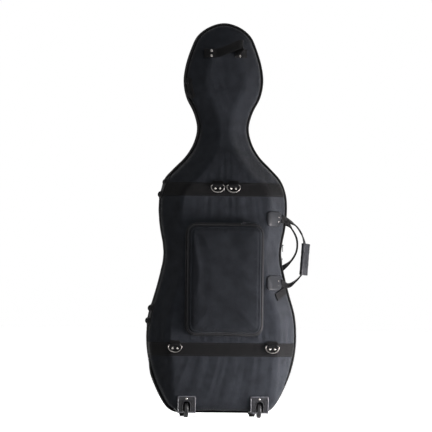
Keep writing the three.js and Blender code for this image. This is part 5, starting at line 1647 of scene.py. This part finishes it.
def slider_parts():
    """A slider that faces +X: a body with rounded edges and waisted sides, and a bridge over its pull."""
    body = rounded_block((0, -5.5, -8.0), (SLIDER_HEIGHT, 5.5, 8.0), 1.6, 4)
    waist = 1 - 0.16 * np.exp(-((body[0][:, 2] + 2.0) / 4.0) ** 2)
    body = (body[0] * joined(1.0, waist, 1.0), *body[1:])
    cheeks = [rounded_block((SLIDER_HEIGHT - 0.8, s[0], -2.0), (8.5, s[1], 2.0), 0.9, 3)
              for s in ((-4.5, -2.1), (2.1, 4.5))]
    rail = rounded_block((SLIDER_HEIGHT - 0.5, -1.0, 3.4), (SLIDER_HEIGHT + 0.7, 1.0, 7.2), 0.5, 2)
    return [body, *cheeks, rail]


def pull_parts():
    """A pull that hangs from the origin: a barrel, a stem, and a tab with a round end and a rounded border,
    drawn between the circle of its eye and an outline of a circle's cosines and sines to low powers."""
    turn = circle(1.0, 48)
    hole = 1.7 * turn + [0, -19.6]
    outer = np.sign(turn) * np.abs(turn) ** [0.6, 0.75] * [3.5, 9.5] + [0, -13.5]
    sections = [(0.0, -0.55), (0.0, 0.55), (0.12, 0.8), (0.9, 0.8), (1.0, 0.5), (1.0, -0.5), (0.9, -0.8),
                (0.12, -0.8), (0.0, -0.55)]
    flat = np.stack([mix(hole, outer, share) for share, _ in sections], 1)
    tab = grid(joined([depth for _, depth in sections], flat[..., 0], flat[..., 1]))
    barrel = lathe(mirrored([(0, -1.8), (1.3, -1.8), (1.6, -1.5)]), 20, -OUT)
    stem = rounded_block((-0.75, -1.7, -5.2), (0.75, 1.7, 0.4), 0.5, 2)
    return [tab, barrel, stem]


def turned(parts, origin, towards):
    """Parts that face +X, turned to face another way, with +Z kept up or laid across, and moved."""
    z = UP if abs(towards[2]) < 0.5 else -RIGHT * towards[2]
    axes = np.stack([towards, np.cross(z, towards), z])
    return [(points @ axes + origin, *rest) for points, *rest in parts]


def seat_beside_seam(z):
    """How far from the middle line a slider at that height sits."""
    return half_width(np.array([z - 8.0, z, z + 8.0])).max() - SEAM_REVEAL + 3.7


class CELLOCASE_OT_zip_sliders(bpy.types.Operator):
    """Builds the two sliders of the seam's zip and the pocket's slider, with their pulls"""
    bl_idname = "cello_case.zip_sliders"
    bl_label = "Zip sliders"

    def execute(self, context):
        pocket_top = POCKET_Z + POCKET_HEIGHT / 2
        for place, slider, pull, body, towards in (
            ((seat_beside_seam(592.0), 0.0, 592.0), "zip_slider_upper", "zip_pull_upper", "upper_pull", RIGHT),
            ((seat_beside_seam(545.0), 0.0, 545.0), "zip_slider_lower", "zip_pull_lower", "lower_pull", RIGHT),
            ((62.0, -(GUSSET_BACK + POCKET_DEPTH / 2), pocket_top + GAP),
             "pocket_zip_slider", "pocket_zip_pull", "pocket_pull", UP),
        ):
            parts = turned(slider_parts(), place, towards)
            carrier = make(slider + "_casting", parts, ["blackened_zinc"], sharp=45)
            dressed(carrier, "base", [slider])
            pivot = place + towards * PULL_PIVOT
            tab = make(pull + "_tab", turned(pull_parts(), pivot, towards), ["blackened_zinc"], sharp=45)
            dressed(tab, body, [pull])
        return {"FINISHED"}


# Inside

BED_SKIN = SHELL_WALL + GAP + LINING + GAP
BED_DEPTH = BASE["depth"] - BED_SKIN
LID_FLOOR = LID["depth"] - BED_SKIN


def bed_block(low, high, top, notch=0.0, edge=5.0):
    """A block that fills the padded bed between two heights, from the bed's floor up to a level: rings of its
    cross-section, with their corners eased, drawn in at both ends by a quarter circle. The cradle has a round
    notch in its top."""
    z = low + (high - low) * (0.5 - 0.5 * np.cos(math.pi * np.linspace(0, 1, 16)))
    corners = section(BASE, z, BED_SKIN + 0.4, top)
    right = joined(half_width(z)[:, None] - corners[..., 0], -corners[..., 1])
    left = right[:, ::-1] * [-1, 1]
    turn = np.linspace(math.pi, 0, 15)
    dip = joined(notch * np.cos(turn), -top - notch * np.sin(turn)) if notch else [[0.0, -top]]
    loops = [np.vstack([a, [0, a[2, 1]], b, dip, a[:1]]) for a, b in zip(right, left)]
    rings = looped(np.array([blurred(spaced(loop, 161)[:-1], 2.2) for loop in loops]))
    inward = rings.mean(1, keepdims=True) - rings
    draw = edge * (1 - quarter_round(np.minimum(z - low, high - z) / edge))
    reach = 0.3 * np.linalg.norm(inward, axis=-1, keepdims=True)
    rings = rings + unit(inward) * np.minimum(draw[:, None, None], reach)
    return grid(capped(joined(rings[..., 0], rings[..., 1], z[:, None])))


def swollen(made, voxel, pressure, cap, frames=16):
    """Blows a pad up as cloth: remeshed evenly, inflated for a few frames with no gravity, and held within a
    distance of where each point began."""
    remesh = made.modifiers.new("Even mesh", "REMESH")
    remesh.mode = "VOXEL"
    remesh.voxel_size = voxel * MM
    settle(made)
    made.data.shade_smooth()
    start = np.empty(len(made.data.vertices) * 3)
    made.data.vertices.foreach_get("co", start)
    cloth = made.modifiers.new("Inflation", "CLOTH")
    for name, value in (("use_pressure", True), ("uniform_pressure_force", pressure), ("mass", 0.2),
                        ("tension_stiffness", 12), ("compression_stiffness", 12), ("bending_stiffness", 0.4)):
        setattr(cloth.settings, name, value)
    cloth.settings.effector_weights.gravity = 0.0
    cloth.point_cache.frame_start = 1
    cloth.point_cache.frame_end = frames
    for frame_number in range(1, frames + 1):
        bpy.context.scene.frame_set(frame_number)
    settle(made)
    bpy.context.scene.frame_set(1)
    end = np.empty(len(start))
    made.data.vertices.foreach_get("co", end)
    move = (end - start).reshape(-1, 3)
    far = np.linalg.norm(move, axis=1, keepdims=True)
    move *= np.minimum(1, cap * MM / np.maximum(far, 1e-9))
    made.data.vertices.foreach_set("co", start + move.ravel())
    made.data.update()
    made.data.shade_smooth()


class CELLOCASE_OT_bed(bpy.types.Operator):
    """Builds the neck cradle and its strap, and the two pads that the cello's back lies on"""
    bl_idname = "cello_case.bed"
    bl_label = "Cradle and pads"

    def execute(self, context):
        cradle = make("cradle_pad", [bed_block(961.5, 1008.5, 23.5, 28.5)], ["plush_velour"], sharp=70)
        swollen(cradle, 4.0, 2.0, 1.5)
        dressed(cradle, "base", ["neck_cradle"])
        for name, height in (("upper", 745.0), ("lower", 190.0)):
            block = bed_block(height - 30, height + 30, BED_DEPTH - 15)
            pad = make(name + "_bolster", [block], ["plush_velour"], sharp=70)
            swollen(pad, 5.0, 4.0, 3.0)
            dressed(pad, "base", [name + "_body_pad"])
        run = np.array([(-1, 0), (-0.8, 0), (-0.65, 0.02), (-0.35, 0.75), (0, 1), (0.35, 0.75), (0.65, 0.02),
                        (0.8, 0), (1, 0)])
        points = joined(run[:, 0] * 44.0, -19.95 + run[:, 1] * 7.0, 985.0)
        parts = sewn_strap(points, UP, 30.0, 2.3, 80, 1, 3)
        tie = make("cradle_tie", parts, ["ribbed_webbing", "sewing_thread"], sharp=50)
        dressed(tie, "base", ["neck_strap"])
        return {"FINISHED"}


class CELLOCASE_OT_bow_holders(bpy.types.Operator):
    """Builds the lid's turning bow catches and the padded sleeve for the bows' tips"""
    bl_idname = "cello_case.bow_holders"
    bl_label = "Bow holders"

    def execute(self, context):
        post = np.array([(0, -15.2), (3.6, -15.2), (4.2, -14.6), (4.6, -12.4), (8.2, -11.2), (9.0, -10.0),
                         (9.0, -0.9), (8.4, 0), (0, 0)])
        for name, side in (("left", -1), ("right", 1)):
            centre = np.array([side * 62.0, LID_FLOOR, 128.0])
            arm = rounded_block((-23, -16, -6), (23, -11, 6), 2.4, 4)
            waist = 1 - 0.22 * np.exp(-((np.abs(arm[0][:, 0]) - 12.5) / 4.5) ** 2)
            arm = (arm[0] * joined(1.0, 1.0, waist) + centre, *arm[1:])
            parts = [lathe(post, 40, -OUT, centre), arm]
            dressed(make(f"{name}_bow_catch", parts, ["moulded_abs"], sharp=45), f"{name}_turner",
                    [f"bow_turner_{name}"])
        half, low, high = 95.0, 700.0, 770.0
        across = np.linspace(-half, half, 61)
        up = np.linspace(low, high - 0.5, 22)
        x, z = np.meshgrid(across, up)
        rise = quarter_round((half - np.abs(x)) / 9.0) * quarter_round((high - z) / 11.0)
        mouth = 0.6 * ripple(x, 91, 30, 90) * np.exp(-(z - low) / 22.0)
        front = LID_FLOOR - 0.6 - (22.6 + mouth) * rise
        rear = np.maximum(front + 3.2, LID_FLOOR - 0.6 - (19.4 + mouth) * rise)
        outer = joined(x, front, z)
        inner = joined(x * 0.965, np.minimum(rear, LID_FLOOR - 0.4), z - 0.02 * (z - low))
        edges = [
            grid(outer), grid(inner),
            grid(np.stack([outer[0], mix(outer[0], inner[0], 0.5) - [0, 0, 1.4], inner[0]])),
            grid(np.stack([outer[-1], inner[-1]])),
            grid(np.stack([outer[:, 0], inner[:, 0]])), grid(np.stack([outer[:, -1], inner[:, -1]])),
        ]
        made = make("bow_tip_cover", edges, ["plush_velour"], sharp=60)
        dressed(made, "lid", ["bow_tip_sleeve"])
        return {"FINISHED"}


# Stage

def seen_ray(tree):
    """1 for a ray from the eye, or one that a glossy or clear surface sends on, and 0 for any other."""
    path = add_node(tree, "LightPath")
    rays = {0: (path, "Is Camera Ray"), 1: (path, "Is Glossy Ray")}
    both = add_node(tree, "Math", links=rays, operation="ADD")
    return add_node(tree, "Math", links={0: (both, 0), 1: (path, "Is Transmission Ray")}, operation="ADD",
                    use_clamp=True)


class CELLOCASE_OT_stage(bpy.types.Operator):
    """Builds the floor, the lamps, the sky and the camera"""
    bl_idname = "cello_case.stage"
    bl_label = "Stage"

    def execute(self, context):
        stage = context.scene.cello_case_stage
        mesh = bpy.data.meshes.new("studio_floor")
        mesh.from_pydata([(-30, -30, 0), (30, -30, 0), (30, 30, 0), (-30, 30, 0)], [], [(0, 1, 2, 3)])
        floor = placed("studio_floor", mesh)
        # Painted studio floor: pale and matt. To the camera it adds light of its own, so that it reads white
        # and keeps only the object's shadow.
        material, tree, shader = surface("painted_floor", linear("e9e9ea"), 0.9, level=0.1)
        seen = seen_ray(tree)
        glow = add_node(tree, "Emission", {"Color": (1, 1, 1, 1), "Strength": 0.9})
        both = add_node(tree, "AddShader")
        tree.links.new(shader.outputs[0], both.inputs[0])
        tree.links.new(glow.outputs[0], both.inputs[1])
        pick = add_node(tree, "MixShader", links={"Fac": (seen, 0)})
        tree.links.new(shader.outputs[0], pick.inputs[1])
        tree.links.new(both.outputs[0], pick.inputs[2])
        tree.links.new(pick.outputs[0], tree.nodes["Material Output"].inputs["Surface"])
        mesh.materials.append(material)

        world = bpy.data.worlds.new("studio_sky")
        bpy.context.scene.world = world
        world.use_nodes = True
        tree = world.node_tree
        lit = tree.nodes["Background"]
        lit.inputs["Color"].default_value = (1.0, 1.0, 1.0, 1.0)
        lit.inputs["Strength"].default_value = stage.sky
        pale = add_node(tree, "Background", {"Color": (1, 1, 1, 1), "Strength": 1.0})
        pick = add_node(tree, "MixShader", links={"Fac": (seen_ray(tree), 0)})
        tree.links.new(lit.outputs[0], pick.inputs[1])
        tree.links.new(pale.outputs[0], pick.inputs[2])
        tree.links.new(pick.outputs[0], tree.nodes["World Output"].inputs["Surface"])

        white, warm = (1.0, 1.0, 1.0), (1.0, 0.955, 0.955)
        for name, place, aim, size, power, colour in (
            ("low_lamp", (1.0, -0.44, 0.14), (0.2, -0.05, 0.2), 0.6, stage.low_light, warm),
            ("foot_lamp", (0.45, -0.5, 0.04), (0.05, -0.13, 0.1), 0.35, stage.low_light * 0.07, white),
            ("side_lamp", (2.0, -0.7, 1.35), (0, 0, 1.0), 1.2, stage.key * 0.13, white),
            ("front_lamp", (0.5, -2.7, 2.2), (0, 0, 0.95), 1.4, stage.key, white),
            ("rear_lamp", (0.7, 2.9, 1.7), (0, 0, 0.8), 1.6, stage.key * 0.9, white),
        ):
            lamp = bpy.data.lights.new(name, "AREA")
            lamp.energy = power
            lamp.color = colour
            lamp.shape = "DISK"
            lamp.size = size
            holder = placed(name, lamp)
            holder.visible_camera = False
            holder.location = place
            holder.rotation_euler = (Vector(place) - Vector(aim)).to_track_quat("Z", "Y").to_euler()

        camera = bpy.data.cameras.new("camera")
        camera.sensor_width = 36.0
        camera.lens = 36.0 * stage.distance / stage.frame_size
        eye = placed("camera", camera)
        target = Vector((ORIGIN[0] * MM - 0.020, ORIGIN[1] * MM, 0.690))
        away = Vector((math.sin(stage.azimuth), -math.cos(stage.azimuth), 0)) * stage.distance
        place = target + away
        place.z = stage.eye
        look = (place - target).to_track_quat("Z", "Y").to_matrix().to_4x4()
        eye.matrix_world = Matrix.Translation(place) @ look @ Matrix.Rotation(stage.roll, 4, "Z")
        bpy.context.scene.camera = eye
        bpy.context.scene.view_settings.view_transform = "Standard"
        return {"FINISHED"}


class CELLOCASE_PT_panel(bpy.types.Panel):
    """Lists the case's pieces and settings"""
    bl_label = "Cello case"
    bl_idname = "CELLOCASE_PT_panel"
    bl_space_type = "VIEW_3D"
    bl_region_type = "UI"
    bl_category = "Cello case"

    def draw(self, context):
        scene = context.scene
        for group in (scene.cello_case_sizes, scene.cello_case_colours, scene.cello_case_stage):
            for name in group.bl_rna.properties.keys():
                if name not in ("rna_type", "name"):
                    self.layout.prop(group, name)
        for operator in OPERATORS:
            self.layout.operator(operator.bl_idname)


OPERATORS = (
    CELLOCASE_OT_stage, CELLOCASE_OT_covers, CELLOCASE_OT_linings, CELLOCASE_OT_seam_trims,
    CELLOCASE_OT_hinge, CELLOCASE_OT_bands, CELLOCASE_OT_rings, CELLOCASE_OT_pocket, CELLOCASE_OT_top_handle,
    CELLOCASE_OT_side_handles, CELLOCASE_OT_side_feet, CELLOCASE_OT_wheels, CELLOCASE_OT_zip_sliders,
    CELLOCASE_OT_bed, CELLOCASE_OT_bow_holders,
)
CLASSES = (CaseSizes, CaseColours, StageSettings, *OPERATORS, CELLOCASE_PT_panel)
GROUPS = {"cello_case_sizes": CaseSizes, "cello_case_colours": CaseColours, "cello_case_stage": StageSettings}


def register():
    """Registers the classes, and gives each scene the groups of settings."""
    for item in CLASSES:
        bpy.utils.register_class(item)
    for name, group in GROUPS.items():
        setattr(bpy.types.Scene, name, PointerProperty(type=group))


def unregister():
    """Takes back what register did."""
    for name in GROUPS:
        delattr(bpy.types.Scene, name)
    for item in reversed(CLASSES):
        bpy.utils.unregister_class(item)


def main():
    """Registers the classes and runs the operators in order."""
    register()
    make_materials(bpy.context.scene.cello_case_colours)
    for operator in OPERATORS:
        group, name = operator.bl_idname.split(".")
        getattr(getattr(bpy.ops, group), name)()


if __name__ == "__main__":
    main()
